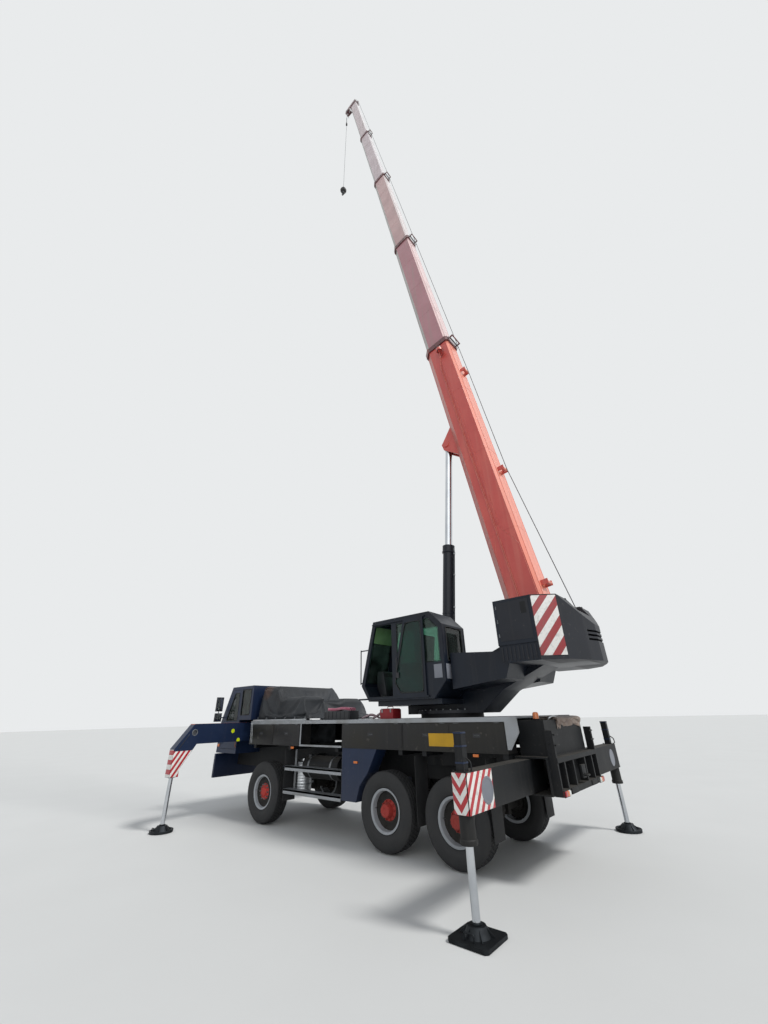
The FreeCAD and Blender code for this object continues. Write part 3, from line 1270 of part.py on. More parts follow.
def boomBase():
    tube = sectionTube(0, "base_start", "base_length")
    pieces = [tube, collar(0, "base_length"), *slidePads(0, "base_length"), *baseFittings(),
              *ropeFrame(0, "base_length")]
    foot = plate("XZ", "boom_width / 2 - 34", "boom_width / 2", [
        ("-pivot_boss * 0.72", "-pivot_boss * 0.72"), ("pivot_boss * 0.5", "-pivot_boss"),
        ("base_start + 900", "boom_offset - boom_height / 2 + lower_chamfer"),
        ("base_start + 900", "boom_offset + boom_height / 2 - upper_chamfer"),
        ("base_start - 60", "boom_offset + boom_height / 2 - upper_chamfer"),
        ("-pivot_boss", "pivot_boss * 0.5")])
    boss = rod("y", "pivot_boss", "boom_width / 2 - 34", "cheek_y - lug_gap", 0, 0)
    hole = rod("y", "pivot_pin + bore_gap", "-cheek_y", "cheek_y", 0, 0)
    back = block(("base_start", "base_start + 30"), ("-boom_width / 2 + 20", "boom_width / 2 - 20"),
                 ("boom_offset - boom_height / 2 + lower_chamfer",
                  "boom_offset + boom_height / 2 - upper_chamfer"))
    pieces += [foot, mirrored(foot), boss, mirrored(boss), back]
    under = "boom_offset - boom_height / 2"
    lug = plate("XZ", "eye_width / 2 + lug_gap", "eye_width / 2 + lug_gap + lug_thickness", [
        ("lug_x - 520", under), ("lug_x - 130", "lug_z - 110"), ("lug_x + 60", "lug_z - 130"),
        ("lug_x + 150", "lug_z - 40"), ("lug_x + 460", under), ("lug_x + 460", under + " + 5"),
        ("lug_x - 520", under + " + 5")])
    outer = "eye_width / 2 + lug_gap + lug_thickness"
    boss = rod("y", "eye_pin * 1.5", outer + " - 5", outer + " + 26", "lug_x", "lug_z")
    lugs = joined(lug, mirrored(lug), boss, mirrored(boss))
    # guide rollers for the hoist rope on the boom's back
    top = "boom_offset + boom_height / 2"
    rollers = []
    for x in ("base_start + 1000", "base_start + 3900", "base_length - 1500"):
        for y in ("-120", "100"):
            rollers.append(block((x + " - 50", x + " + 50"), (y, y + " + 20"),
                                 (top + " - 5", top + " + 150")))
        rollers.append(rod("y", 45, "-110", "110", x, top + " + 100"))
    return cut(joined(*pieces, lugs, *rollers), hole)


def boomSection(nest):
    reach = "base_length + %d * (boom_stroke + head_step)" % nest
    before = "base_length + %d * (boom_stroke + head_step)" % (nest - 1)
    start = "%s - boom_lap + %d * lap_step" % (before, nest)
    pieces = [sectionTube(nest, start, reach), collar(nest, reach)]
    pieces += tipHead(nest, reach) if nest == 4 else slidePads(nest, reach) + ropeFrame(nest, reach)
    return joined(*pieces)


def tipHead(nest, reach):
    half = "(boom_width / 2 - %d * nest_width / 2)" % nest
    low = "(boom_offset - boom_height / 2 + %d * nest_height / 2)" % nest
    high = "(boom_offset + boom_height / 2 - %d * nest_height / 2)" % nest
    side = plate("XZ", half + " - nose_plate", half, [
        (reach + " - 260", low + " + lower_chamfer"), (reach + " - 60", low),
        (reach + " + sheave_reach - 110", "-sheave_drop - 150"),
        (reach + " + sheave_reach + 120", "-sheave_drop - 110"),
        (reach + " + sheave_reach + 150", high + " - 60"), (reach + " + sheave_reach", high + " + 60"),
        (reach + " - 260", high + " - upper_chamfer")])
    close = block((reach + " - 20", reach), ("-" + half + " + boom_wall / 2", half + " - boom_wall / 2"),
                  (low + " + lower_chamfer", high + " - upper_chamfer"))
    pieces = [side, mirrored(side), close]
    x = reach + " + sheave_reach"
    for z in ("-sheave_drop", high + " - 40"):
        pieces.append(rod("y", "sheave_radius * 0.2", "-" + half, half, x, z))
    for y, z, radius in (("-95", "-sheave_drop", "sheave_radius"), ("35", "-sheave_drop", "sheave_radius"),
                         ("-95", high + " - 40", "sheave_radius * 0.8")):
        wheel = turned("YZ", "H_Axis", [
            (0, 0), ("sheave_width", 0), ("sheave_width", radius), ("sheave_width / 2", radius + " - groove"),
            (0, radius)])
        pieces.append(place(wheel, x, y, z))
    return pieces


keep(raised(boomBase()), "boom_base")
for nest in (1, 2, 3, 4):
    keep(raised(boomSection(nest)), "boom_section_%d" % (nest + 1))


# Hoist line and hook hang upright from the lower sheave at the tip

tip_along = "(base_length + 4 * (boom_stroke + head_step) + sheave_reach)"
line_x = ("pivot_x + %s * cos(boom_angle) + sheave_drop * sin(boom_angle)"
          " + sheave_radius - groove + rope_radius * 1.25 + seat_gap"
          % tip_along)
line_y = "-95 + sheave_width / 2"
line_z = "(pivot_z + %s * sin(boom_angle) - sheave_drop * cos(boom_angle))" % tip_along
socket_z = "(%s - rope_length)" % line_z
keep(rod("z", "rope_radius", socket_z, line_z, line_x, line_y), "hoist_rope")


def hook():
    """Rope socket, ball weight and shank in one, and the hook's bowl open to its front."""
    middle = "(-180 - ball_radius)"
    ball = [("ball_radius * cos(%d)" % angle, "%s + ball_radius * sin(%d)" % (middle, angle))
            for angle in (66, 35, 0, -35, -66)]
    foot = "%s - ball_radius - 190 + hook_radius - 10" % middle
    weight = turned("XZ", "V_Axis", [
        (0, 0), ("rope_radius * 2.4", 0), *ball,
        ("hook_section", "%s - ball_radius * sin(66)" % middle), ("hook_section", foot), (0, foot)])
    angles = (70, 100, 130, 160, 190, 220, 250, 280, 310, 340, 360)
    bowl = plate("XZ", "-hook_section", "hook_section",
                 arc("hook_radius + hook_section", angles)
                 + [("hook_radius + hook_section * 0.3", "hook_section * 1.6")]
                 + arc("hook_radius - hook_section", reversed(angles)))
    return joined(place(weight, line_x, line_y, socket_z),
                  place(bowl, line_x, line_y, socket_z + " - 370 - 2 * ball_radius"))


keep(hook(), "hook_block")

# Build, check and write every sub-part
doc.recompute()
failed = [item.Name for item in doc.Objects if {"Invalid", "Error"} & set(item.State)]
for item in subParts:
    if item.Shape.isNull() or not item.Shape.isValid():
        failed.append(item.Label)
if failed:
    raise RuntimeError("not built: " + ", ".join(failed))
os.makedirs("parts", exist_ok=True)
for item in subParts:
    item.Shape.exportStep("parts/%s.step" % item.Label)
    print("%-28s %2d solids" % (item.Label, len(item.Shape.Solids)))
print(len(subParts), "sub-parts")
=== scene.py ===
import math
import bmesh
import bpy
from mathutils import Matrix, Vector


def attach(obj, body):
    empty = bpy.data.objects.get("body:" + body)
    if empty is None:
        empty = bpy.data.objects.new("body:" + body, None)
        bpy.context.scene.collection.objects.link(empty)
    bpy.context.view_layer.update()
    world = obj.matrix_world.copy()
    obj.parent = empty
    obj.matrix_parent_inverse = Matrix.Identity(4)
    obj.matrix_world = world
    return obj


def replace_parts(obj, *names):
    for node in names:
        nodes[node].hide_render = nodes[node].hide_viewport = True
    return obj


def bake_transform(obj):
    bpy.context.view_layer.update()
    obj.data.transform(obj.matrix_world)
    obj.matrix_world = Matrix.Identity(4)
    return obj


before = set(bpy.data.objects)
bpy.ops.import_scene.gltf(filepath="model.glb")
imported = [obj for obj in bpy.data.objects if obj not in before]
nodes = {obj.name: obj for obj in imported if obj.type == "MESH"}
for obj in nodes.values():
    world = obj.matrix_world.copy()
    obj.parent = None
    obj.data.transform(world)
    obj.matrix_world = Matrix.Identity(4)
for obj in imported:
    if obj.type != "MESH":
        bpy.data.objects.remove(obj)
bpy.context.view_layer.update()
scene = bpy.context.scene
print("frame loaded,", len(nodes), "nodes")


def linked(name, data):
    thing = bpy.data.objects.new(name, data)
    scene.collection.objects.link(thing)
    return thing


# Camera at the photo's place: behind the machine's left rear corner, low, very wide lens
view = {"at": (-7.0528, 7.9172, 2.1424), "yaw": -49.628, "pitch": 27.149, "roll": -1.326, "lens": 14.02,
        "sensor": 36, "far": 500}
yaw, pitch, roll = (math.radians(view[word]) for word in ("yaw", "pitch", "roll"))
ahead = Vector((math.cos(yaw) * math.cos(pitch), math.sin(yaw) * math.cos(pitch), math.sin(pitch)))
right = Vector((math.sin(yaw), -math.cos(yaw), 0))
up = right.cross(ahead)
rightTurned = right * math.cos(roll) + up * math.sin(roll)
upTurned = up * math.cos(roll) - right * math.sin(roll)
camera = linked("camera", bpy.data.cameras.new("camera"))
camera.data.lens = view["lens"]
camera.data.sensor_width = view["sensor"]
camera.data.clip_end = view["far"]
camera.matrix_world = Matrix((rightTurned, upTurned, -ahead)).transposed().to_4x4()
camera.matrix_world.translation = view["at"]
scene.camera = camera
scene.view_settings.view_transform = "Standard"


# Materials: helpers

def toLinear(hexText):
    parts = [int(hexText[i:i + 2], 16) / 255 for i in (1, 3, 5)]
    return [p / 12.92 if p <= 0.04045 else ((p + 0.055) / 1.055) ** 2.4 for p in parts] + [1]


def connect(tree, node, links):
    for key, value in links.items():
        if isinstance(value, bpy.types.NodeSocket):
            tree.links.new(value, node.inputs[key])
        else:
            node.inputs[key].default_value = toLinear(value) if isinstance(value, str) else value


def addNode(tree, kind, links=None, **settings):
    node = tree.nodes.new("ShaderNode" + kind)
    for key, value in settings.items():
        setattr(node, key, value)
    connect(tree, node, links or {})
    return node


def perMetre(millimetres):
    return 1000 / millimetres


class Surface:
    # one material in the making, with the steps that the looks share

    def __init__(self, name, links):
        self.material = bpy.data.materials.new(name)
        self.material.use_nodes = True
        self.tree = self.material.node_tree
        self.done(links)
        spots = self.add("TexCoord").outputs
        self.place, self.normal = spots["Object"], spots["Normal"]

    def add(self, kind, links=None, **settings):
        return addNode(self.tree, kind, links, **settings)

    def noise(self, millimetres, detail, place=None, **links):
        return self.add("TexNoise", {"Vector": place or self.place, "Scale": perMetre(millimetres),
                                     "Detail": detail, **links}).outputs[0]

    def mapped(self, place=None, **links):
        return self.add("Mapping", {"Vector": place or self.place, **links}).outputs[0]

    def axis(self, vector, letter):
        return self.add("SeparateXYZ", {"Vector": vector}).outputs[letter]

    def ramp(self, value, low, high, least=0.0, most=1.0):
        return self.add("MapRange", {"Value": value, "From Min": low, "From Max": high, "To Min": least,
                                     "To Max": most}).outputs[0]

    def mix(self, share, first, second):
        return self.add("Mix", {0: share, 6: first, 7: second}, data_type="RGBA").outputs[2]

    def math(self, operation, *values):
        return self.add("Math", dict(enumerate(values)), operation=operation).outputs[0]

    def vector(self, operation, *values):
        node = self.add("VectorMath", dict(enumerate(values)), operation=operation)
        return node.outputs[1 if operation in ("DOT_PRODUCT", "DISTANCE", "LENGTH") else 0]

    def bump(self, height, strength, distance, **links):
        return self.add("Bump", {"Height": height, "Strength": strength, "Distance": distance, **links}).outputs[0]

    def done(self, links):
        connect(self.tree, self.tree.nodes["Principled BSDF"], links)
        return self.material


def weathered(name, look, sunlit=None):
    # two-pack enamel sprayed on steel plate: an even gloss with a faint orange peel, road dust that
    # settles on ledges and low down, rain streaks, and scuffs where hands, boots and slides go.
    # sunlit gives the boom's sections their back painted lighter as sunlight, their underside painted as shade, deeper
    # flanks and dark collar
    m = Surface(name, {"IOR": 1.5, "Coat Weight": look["coat"], "Coat Roughness": 0.2,
                       "Specular IOR Level": look["shine"]})
    cloud = m.noise(look["cloudMm"], 5, Roughness=0.6)
    body = m.mix(m.ramp(cloud, 0.35, 0.7), look["colour"], look["faded"])
    if sunlit:
        # painted light and shade by facing: faces turned to the back take the back colour, painted sunlight; faces
        # turned away take the under colour, painted shade
        paintedLightFacing = m.vector("DOT_PRODUCT", m.normal, boom["backNormal"])
        body = m.mix(m.ramp(paintedLightFacing, 0.35, 0.75), body, sunlit["back"])
        body = m.mix(m.ramp(paintedLightFacing, -0.35, -0.75), body, sunlit["under"])
        along = m.vector("DOT_PRODUCT", m.vector("SUBTRACT", m.place, boom["pivot"]), boom["way"])
        collar = m.math("GREATER_THAN", along, sunlit["head"] - boom["collar"])
        body = m.mix(collar, body, sunlit["collar"])
        # grease and slide marks drawn out along the boom
        drawn = m.noise(110, 4, m.mapped(Rotation=(0, math.radians(-9), 0), Scale=(1, 1, 0.04)))
        body = m.mix(m.ramp(drawn, 0.52, 0.72, 0, sunlit["grease"]), body, sunlit["greaseColour"])
    height, upward = m.axis(m.place, "Z"), m.axis(m.normal, "Z")
    low = m.ramp(height, look["dustTop"], look["dustTop"] - 1.4)
    reach = m.math("MAXIMUM", low, m.ramp(upward, 0.5, 1.0))
    share = m.math("MULTIPLY", m.math("MULTIPLY", reach, cloud), look["dust"])
    body = m.mix(share, body, look["dustColour"])
    if "topPaint" in look:
        # orange top and two round lime markers, painted on so that they slide with the beam
        flat = m.math("MULTIPLY", m.math("GREATER_THAN", height, look["topFrom"]), upward)
        body = m.mix(flat, body, look["topPaint"])
        side = m.vector("ABSOLUTE", m.vector("MULTIPLY", m.place, (0, 1, 1)))
        for spot in look["markers"]:
            inside = m.math("LESS_THAN", m.vector("DISTANCE", side, spot), look["markerRadius"])
            body = m.mix(inside, body, look["markerColour"])
    streak = m.noise(70, 4, m.mapped(Scale=(1, 1, 0.06)))
    body = m.mix(m.ramp(streak, 0.55, 0.75, 0, look["streaks"]), body, look["dustColour"])
    scuffs = m.ramp(m.noise(look["speckMm"], 3), 0.66, 0.74, 0, look["scuffs"])
    body = m.mix(scuffs, body, look["scuffColour"])
    rough = m.ramp(cloud, 0.3, 0.75, look["gloss"], look["gloss"] + 0.16)
    edge = m.add("Bevel", {"Radius": look["edgeMm"] / 1000}, samples=3).outputs[0]
    return m.done({"Base Color": body, "Roughness": m.math("ADD", rough, share),
                   "Normal": m.bump(m.noise(9, 2), 0.06, 0.002, Normal=edge)})


def metal(name, look, base=None, most=0.7):
    # bare or plated metal: reflections drawn out along the way it was worked
    m = Surface(name, base or {"Metallic": 1.0})
    cloud = m.noise(look["cloudMm"], 4)
    grain = m.noise(look["grainMm"], 4, m.mapped(Scale=look["grain"]))
    return m.done({"Base Color": m.mix(m.ramp(cloud, 0.35, most), look["colour"], look["worn"]),
                   "Roughness": m.ramp(cloud, 0.3, 0.75, look["rough"], look["rough"] + look["spread"]),
                   "Normal": m.bump(grain, look["bump"], 0.001)})


def moulded(name, look):
    # rubber or moulded plastic: matt, with the fine pitted skin of its mould
    return metal(name, {"grain": (1, 1, 1), "spread": 0.15, **look}, {"IOR": 1.5}, 0.72)


def treadPlate(name, look):
    # rolled aluminium tread plate: short raised bars in two crossing rows, bright on top and grey between;
    # drawn on the face that each part of the plate turns outwards
    m = Surface(name, {"Metallic": 0.6})
    axes = m.add("SeparateXYZ", {"Vector": m.place}).outputs
    level = m.math("GREATER_THAN", m.math("ABSOLUTE", m.axis(m.normal, "Z")), 0.5)
    across = m.add("Mix", {0: level, 2: axes["Z"], 3: axes["Y"]}).outputs[0]
    flat = m.add("CombineXYZ", {"X": axes["X"], "Y": across}).outputs[0]
    rows = []
    for angle, shift in ((45, 0), (-45, 0.5)):
        spin = m.mapped(flat, Rotation=(0, 0, math.radians(angle)), Location=(shift, 0, 0),
                        Scale=(perMetre(look["pitchMm"]), perMetre(look["pitchMm"] * 0.5), 1))
        centred = m.vector("SUBTRACT", m.vector("FRACTION", spin), (0.5, 0.5, 0))
        length = m.vector("LENGTH", m.vector("MULTIPLY", centred, (1.0, 2.6, 0)))
        rows.append(m.ramp(length, 0.5, 0.34))
    raised = m.math("MAXIMUM", *rows)
    dirt = m.ramp(m.noise(350, 5), 0.45, 0.7, 0, 0.5)
    colour = m.mix(dirt, m.mix(raised, look["between"], look["colour"]), look["dirt"])
    return m.done({"Base Color": colour, "Roughness": m.ramp(raised, 0, 1, 0.5, 0.34),
                   "Normal": m.bump(raised, 0.7, 0.003)})


def stripes(name, look):
    # reflective sheeting on a thin plate: crisp red and white bars with fine beads under a clear face
    look = {"fold": False, "red": "#a81421", "white": "#d9d7d2", "dirt": "#5d564f", **look}
    m = Surface(name, {"IOR": 1.5, "Coat Weight": 0.5, "Coat Roughness": 0.2})
    offset = m.math("SUBTRACT", m.vector("DOT_PRODUCT", m.place, look["across"]), look["middle"])
    if look["fold"]:
        offset = m.math("ABSOLUTE", offset)
    along = m.math("MULTIPLY_ADD", offset, look["slope"], m.axis(m.place, "Z"))
    part = m.math("FRACT", m.math("MULTIPLY", along, perMetre(look["pitchMm"])))
    cloud = m.noise(60, 5, Roughness=0.65)
    clean = m.mix(m.math("GREATER_THAN", part, 0.5), look["white"], look["red"])
    beads = m.add("TexVoronoi", {"Vector": m.place, "Scale": perMetre(4)}).outputs["Distance"]
    return m.done({"Base Color": m.mix(m.ramp(cloud, 0.5, 0.75, 0, 0.45), clean, look["dirt"]),
                   "Roughness": m.ramp(cloud, -0.6, 1.6), "Normal": m.bump(beads, 0.08, 0.001)})


def glazing(name, look):
    # laminated safety glass: greenish in its thickness, with a film of dust
    m = Surface(name, {"Base Color": look["tint"], "IOR": 1.45, "Transmission Weight": 1.0, "Roughness": 0.03})
    film = m.add("BsdfDiffuse", {"Color": look["film"]}).outputs[0]
    clear = m.add("BsdfTransparent", {"Color": look["tint"]}).outputs[0]
    gloss = m.add("BsdfGlossy", {"Roughness": 0.04}).outputs[0]
    rim = m.add("Fresnel", {"IOR": 1.45}).outputs[0]
    pane = m.add("MixShader", {0: rim, 1: clear, 2: gloss}).outputs[0]
    share = m.ramp(m.noise(240, 5), 0.35, 0.75, look["least"], look["most"])
    dusty = m.add("MixShader", {0: share, 1: pane, 2: film}).outputs[0]
    connect(m.tree, m.tree.nodes["Material Output"], {"Surface": dusty})
    return m.material


def lens(name, colour, zones=()):
    # moulded acrylic lamp lens: deep colour, fine prisms behind a smooth face.
    # zones paint other lenses in the same moulding: axis, where it starts, colour
    m = Surface(name, {"IOR": 1.49, "Roughness": 0.12, "Coat Weight": 0.6})
    body = colour
    for letter, start, other in zones:
        value = m.axis(m.place, letter)
        if letter == "Y":
            value = m.math("ABSOLUTE", value)
        body = m.mix(m.math("GREATER_THAN", value, start), body, other)
    prisms = m.add("TexVoronoi", {"Vector": m.place, "Scale": perMetre(9), "Randomness": 0.0}).outputs["Distance"]
    # the prisms' cells also make the colour lighter and darker: painted light and shade of the prisms
    tint = m.add("HueSaturation", {"Color": body, "Value": m.ramp(prisms, 0, 1, 0.75, 1.15)}).outputs[0]
    return m.done({"Base Color": tint, "Normal": m.bump(prisms, 0.25, 0.001)})


def woven(name, look):
    # woven cloth: two crossing sets of threads, drawn coarse enough to show; patch is a stained area
    m = Surface(name, {"Roughness": look["rough"], "Sheen Weight": look["sheen"]})
    threads = [m.add("TexWave", {"Vector": m.place, "Scale": perMetre(look["threadMm"] * 6.28), "Distortion": 0.6,
                                 "Detail": 1}, bands_direction=direction).outputs[1] for direction in ("X", "Z")]
    weave = m.math("MULTIPLY", *threads)
    cloud = m.noise(look["cloudMm"], 5)
    body = m.mix(m.ramp(cloud, 0.35, 0.7), look["colour"], look["faded"])
    if "patch" in look:
        ragged = m.math("MULTIPLY_ADD", cloud, 0.5, m.vector("DISTANCE", m.place, look["patch"]))
        body = m.mix(m.ramp(ragged, 0.52, 0.36, 0, 0.8), body, look["patchColour"])
    return m.done({"Base Color": m.mix(m.math("MULTIPLY", weave, 0.5), body, look["deep"]),
                   "Normal": m.bump(weave, 0.35, 0.0008)})


def strands(name, look):
    # wire rope: galvanised strands laid in a helix, greased dark in the grooves
    m = Surface(name, {"Metallic": 0.7, "Roughness": 0.5})
    wave = m.add("TexWave", {"Vector": m.place, "Scale": perMetre(look["layMm"] * 6.28), "Distortion": 0.2},
                 bands_direction="DIAGONAL").outputs[1]
    return m.done({"Base Color": m.mix(wave, look["groove"], look["colour"]), "Normal": m.bump(wave, 0.8, 0.002)})


# The boom's own frame: X along it from the pivot pin, Z up when it lies flat
boom = {"pivot": (-3.85, 0, 3.05), "angle": 81, "collar": 0.18, "step": 6.85, "base": 9.3,
        "way": (0.1564, 0, 0.9877), "backNormal": (-0.9877, 0, 0.1564)}
boomTurn = Matrix.Translation(boom["pivot"]) @ Matrix.Rotation(-math.radians(boom["angle"]), 4, "Y")

# what dust, scuffs and gloss are where a coat doesn't say otherwise
dust = {"dustColour": "#5d5850", "dustTop": 1.3, "dust": 0.5, "scuffs": 0.12, "scuffColour": "#77716a", "streaks": 0.06,
        "cloudMm": 900, "speckMm": 60, "edgeMm": 5, "gloss": 0.3, "coat": 0.06, "shine": 0.28}


def enamel(name, colour, faded, **other):
    return weathered(name, {**dust, "colour": colour, "faded": faded, **other})


def named(maker, words):
    # a maker whose look is given as a row under these words
    return lambda name, *row, **other: maker(name, {**dict(zip(words.split(), row)), **other})


navyEnamel = enamel("navy enamel", "#16223a", "#1d2b45")
beamEnamel = enamel("navy beam enamel", "#16223a", "#1d2b45", topPaint="#c9603a", topFrom=2.065,
                    markers=((0, 1.56, 1.89), (0, 1.38, 1.68)), markerRadius=0.048, markerColour="#c3d11c")
blackEnamel = enamel("black-blue enamel", "#0d131d", "#131b27", dust=0.2)
tailEnamel = enamel("dark grey enamel", "#1c1e23", "#25272d", gloss=0.4, coat=0.0, dust=0.2, scuffs=0.2)
lockerEnamel = enamel("locker enamel", "#1b1b1d", "#24221c", gloss=0.36, dust=0.3, scuffs=0.2, speckMm=90)
chassisBlack = enamel("chassis black", "#0d0f11", "#15171a", dust=0.6, gloss=0.5, coat=0.0)
silverLacquer = enamel("silver lacquer", "#a7abaf", "#8d9195", gloss=0.34)
hubEnamel = enamel("red hub enamel", "#b02a22", "#8f2b25", dust=0.6, gloss=0.42)
hookEnamel = enamel("hook black", "#26282c", "#3b3733", dust=0.1, gloss=0.4)
yellowEnamel = enamel("yellow enamel", "#c89a1e", "#a8831f", dust=0.3)
redEnamel = enamel("red enamel", "#7c1a20", "#8d2a2e", dust=0.2)
greyEnamel = enamel("grey enamel", "#6b6e76", "#7c7f86", dust=0.2, gloss=0.35)

# the sections slide in each other: greased, and bleached more the further out they reach; under is the undersides'
# colour, painted shade
slide = {**dust, "coat": 0.4, "shine": 0.5, "dust": 0.0, "dustTop": -5, "scuffs": 0.16, "speckMm": 140, "gloss": 0.34,
         "streaks": 0.1, "scuffColour": "#a79c99", "dustColour": "#8d8684", "greaseColour": "#8f8078", "grease": 0.45,
         "collar": "#5a2328", "under": "#8b9088"}
# back is each section's lighter back facet, painted sunlight; under is its underside, painted shade
boomSections = {
    "boom_base": {"colour": "#b8423c", "faded": "#c45348", "back": "#e88a72", "under": "#b25a4e", "scuffColour": "#8f3a34",
                  "dustColour": "#7c4038", "greaseColour": "#c97a68", "grease": 0.3},
    "boom_section_2": {"colour": "#ac757c", "faded": "#a06a70", "back": "#e0c0bd"},
    "boom_section_3": {"colour": "#c39e9a", "faded": "#b08c8b", "back": "#d6ccca"},
    "boom_section_4": {"colour": "#c8b6b9", "faded": "#b3a1a3", "back": "#cfc8c9"},
    "boom_section_5": {"colour": "#cbb9ba", "faded": "#b5a5a6", "back": "#d0caca"},
}
sectionEnamel = {}
for row, (node, look) in enumerate(boomSections.items()):
    look = {**slide, "head": boom["base"] + row * boom["step"], **look}
    sectionEnamel[node] = weathered("sun-bleached enamel %d" % (row + 1), look, look)

worked = named(metal, "colour worn grain grainMm cloudMm rough spread bump")
castIron = worked("painted cast iron", "#34373a", "#26282a", (1, 1, 1), 6, 200, 0.5, 0.2, 0.5)
aluminium = worked("mill aluminium", "#b9bcbf", "#9a9da0", (0.05, 1, 1), 4, 300, 0.3, 0.2, 0.12)
hardChrome = worked("hard chrome", "#c9ccd0", "#b4b8bd", (1, 1, 0.05), 5, 500, 0.12, 0.12, 0.04)
zincSteel = worked("zinc plated steel", "#8f9396", "#6d7073", (1, 1, 1), 8, 80, 0.38, 0.25, 0.15)
silvered = worked("silvered mirror", "#d5d9dc", "#c4c9cd", (1, 1, 1), 20, 200, 0.03, 0.05, 0.01)

pressed = named(moulded, "colour worn grainMm cloudMm rough bump")
tyreRubber = pressed("tyre rubber", "#1b1c1e", "#2b2b2b", 3, 260, 0.7, 0.25)
blackPlastic = pressed("black moulded plastic", "#15161a", "#202226", 1.6, 150, 0.42, 0.2)
sealRubber = pressed("seal rubber", "#0e0f10", "#1a1b1c", 2, 90, 0.6, 0.1)
hoseRubber = pressed("silver-sleeved hose", "#8e7f82", "#a3888c", 5, 60, 0.55, 0.4)
screenFace = pressed("display face", "#0b1014", "#10181c", 1, 60, 0.12, 0.02)
checker = treadPlate("aluminium tread plate", {"pitchMm": 34, "colour": "#b7babc", "between": "#80848a",
                                               "dirt": "#6c6a62"})

glazed = named(glazing, "tint film least most")
greenGlass = glazed("green safety glass", "#b9d6cb", "#7f8a86", 0.02, 0.1)
doorGlass = glazed("tinted door glass", "#7fa79f", "#35544f", 0.12, 0.34)
blindFilm = glazed("green sun blind", "#9fc58a", "#86a878", 0.45, 0.6)
tailLenses = lens("tail lamp lenses", "#d7d9d4", (("Y", 0.83, "#d06a12"), ("Y", 0.90, "#a3121a"), ("X", 0.0, "#d3d7d8")))
amberLens = lens("amber lamp lens", "#d06a12")
clearLens = lens("clear lamp lens", "#c9ccc8")

cloth = named(woven, "colour faded deep threadMm cloudMm sheen rough")
seatCloth = cloth("woven seat cloth", "#2d3036", "#3a3d44", "#15171a", 3, 120, 0.4, 0.85)
tarpaulin = cloth("coated tarpaulin", "#12161b", "#20252b", "#0c0e10", 6, 420, 0.02, 0.6, patch=(3.1, 1.0, 2.82),
                  patchColour="#4a3227")
# flat polyester webbing of the rolled slings: pink-red, worn
slingWeb = cloth("polyester sling webbing", "#a8546a", "#b97888", "#6b3040", 5, 160, 0.3, 0.85)
canvas = cloth("folded canvas", "#7c6a5e", "#8f7f72", "#4f433b", 4, 160, 0.2, 0.9)
wireRope = strands("wire rope", {"colour": "#6c6f72", "groove": "#242526", "layMm": 14})

striped = named(stripes, "across middle slope pitchMm")
rearStripes = striped("striped sheeting, rear face", (0, 1, 0), 2.57, 1.4, 210)
endStripes = striped("striped sheeting, end face", (1, 0, 0), -3.925, -1.3, 170, fold=True)
legStripes = striped("striped sheeting, leg", (0, 1, 0), 2.9, 1.6, 190)
tailStripes = striped("striped sheeting, tail", (-0.781, -0.625, 0), 3.0, -1.2, 330, red="#8c1a20")
print("materials made")


# Carried-over nodes

finishes = {
    navyEnamel: "driver_cab driver_door_left driver_door_right front_bumper fender_boxes",
    beamEnamel: "outrigger_beam_front_left outrigger_beam_front_right",
    lockerEnamel: "side_lockers",
    chassisBlack: "chassis_frame axles knuckle_left knuckle_right tanks outrigger_beam_rear_left "
                  "outrigger_beam_rear_right",
    hardChrome: "luff_cylinder_rod outrigger_jack_front_left outrigger_jack_front_right "
                "outrigger_jack_rear_left outrigger_jack_rear_right",
    blackEnamel: "slewing_frame side_housings winch operator_cab operator_door luff_cylinder_barrel",
    tailEnamel: "counterweight",
    checker: "deck deck_edges side_steps",
    castIron: "engine",
    greenGlass: "driver_cab_glass driver_door_glass_left driver_door_glass_right operator_cab_glass",
    doorGlass: "operator_door_glass",
    tailLenses: "lamps",
    wireRope: "hoist_rope",
    hookEnamel: "hook_block",
}
for node, material in sectionEnamel.items():
    finishes[material] = node
for material, names in finishes.items():
    for name in names.split():
        nodes[name].data.materials.clear()
        nodes[name].data.materials.append(material)
print("nodes finished")


# Modelling helpers: all of them add to one work mesh, which finished() turns into a piece

bm = bmesh.new()
boxQuads = ((0, 1, 3, 2), (4, 6, 7, 5), (0, 4, 5, 1), (2, 3, 7, 6), (1, 5, 7, 3), (0, 2, 6, 4))
flanks = (("left", 1), ("right", -1))


def closed(spots, quads=boxQuads, slot=0):
    corners = [bm.verts.new(spot) for spot in spots]
    for quad in quads:
        bm.faces.new([corners[i] for i in quad]).material_index = slot


def block(low, high, slot=0):
    closed([(x, y, z) for x in (low[0], high[0]) for y in (low[1], high[1]) for z in (low[2], high[2])], slot=slot)


def prism(outline, axis, low, high, slot=0):
    order = {"x": (2, 0, 1), "y": (0, 2, 1), "z": (0, 1, 2)}[axis]
    rings = [[bm.verts.new([(*pair, depth)[i] for i in order]) for pair in outline] for depth in (low, high)]
    for i in range(len(outline)):
        bm.faces.new((rings[0][i - 1], rings[0][i], rings[1][i], rings[1][i - 1])).material_index = slot
    for ring in rings:
        bm.faces.new(ring).material_index = slot


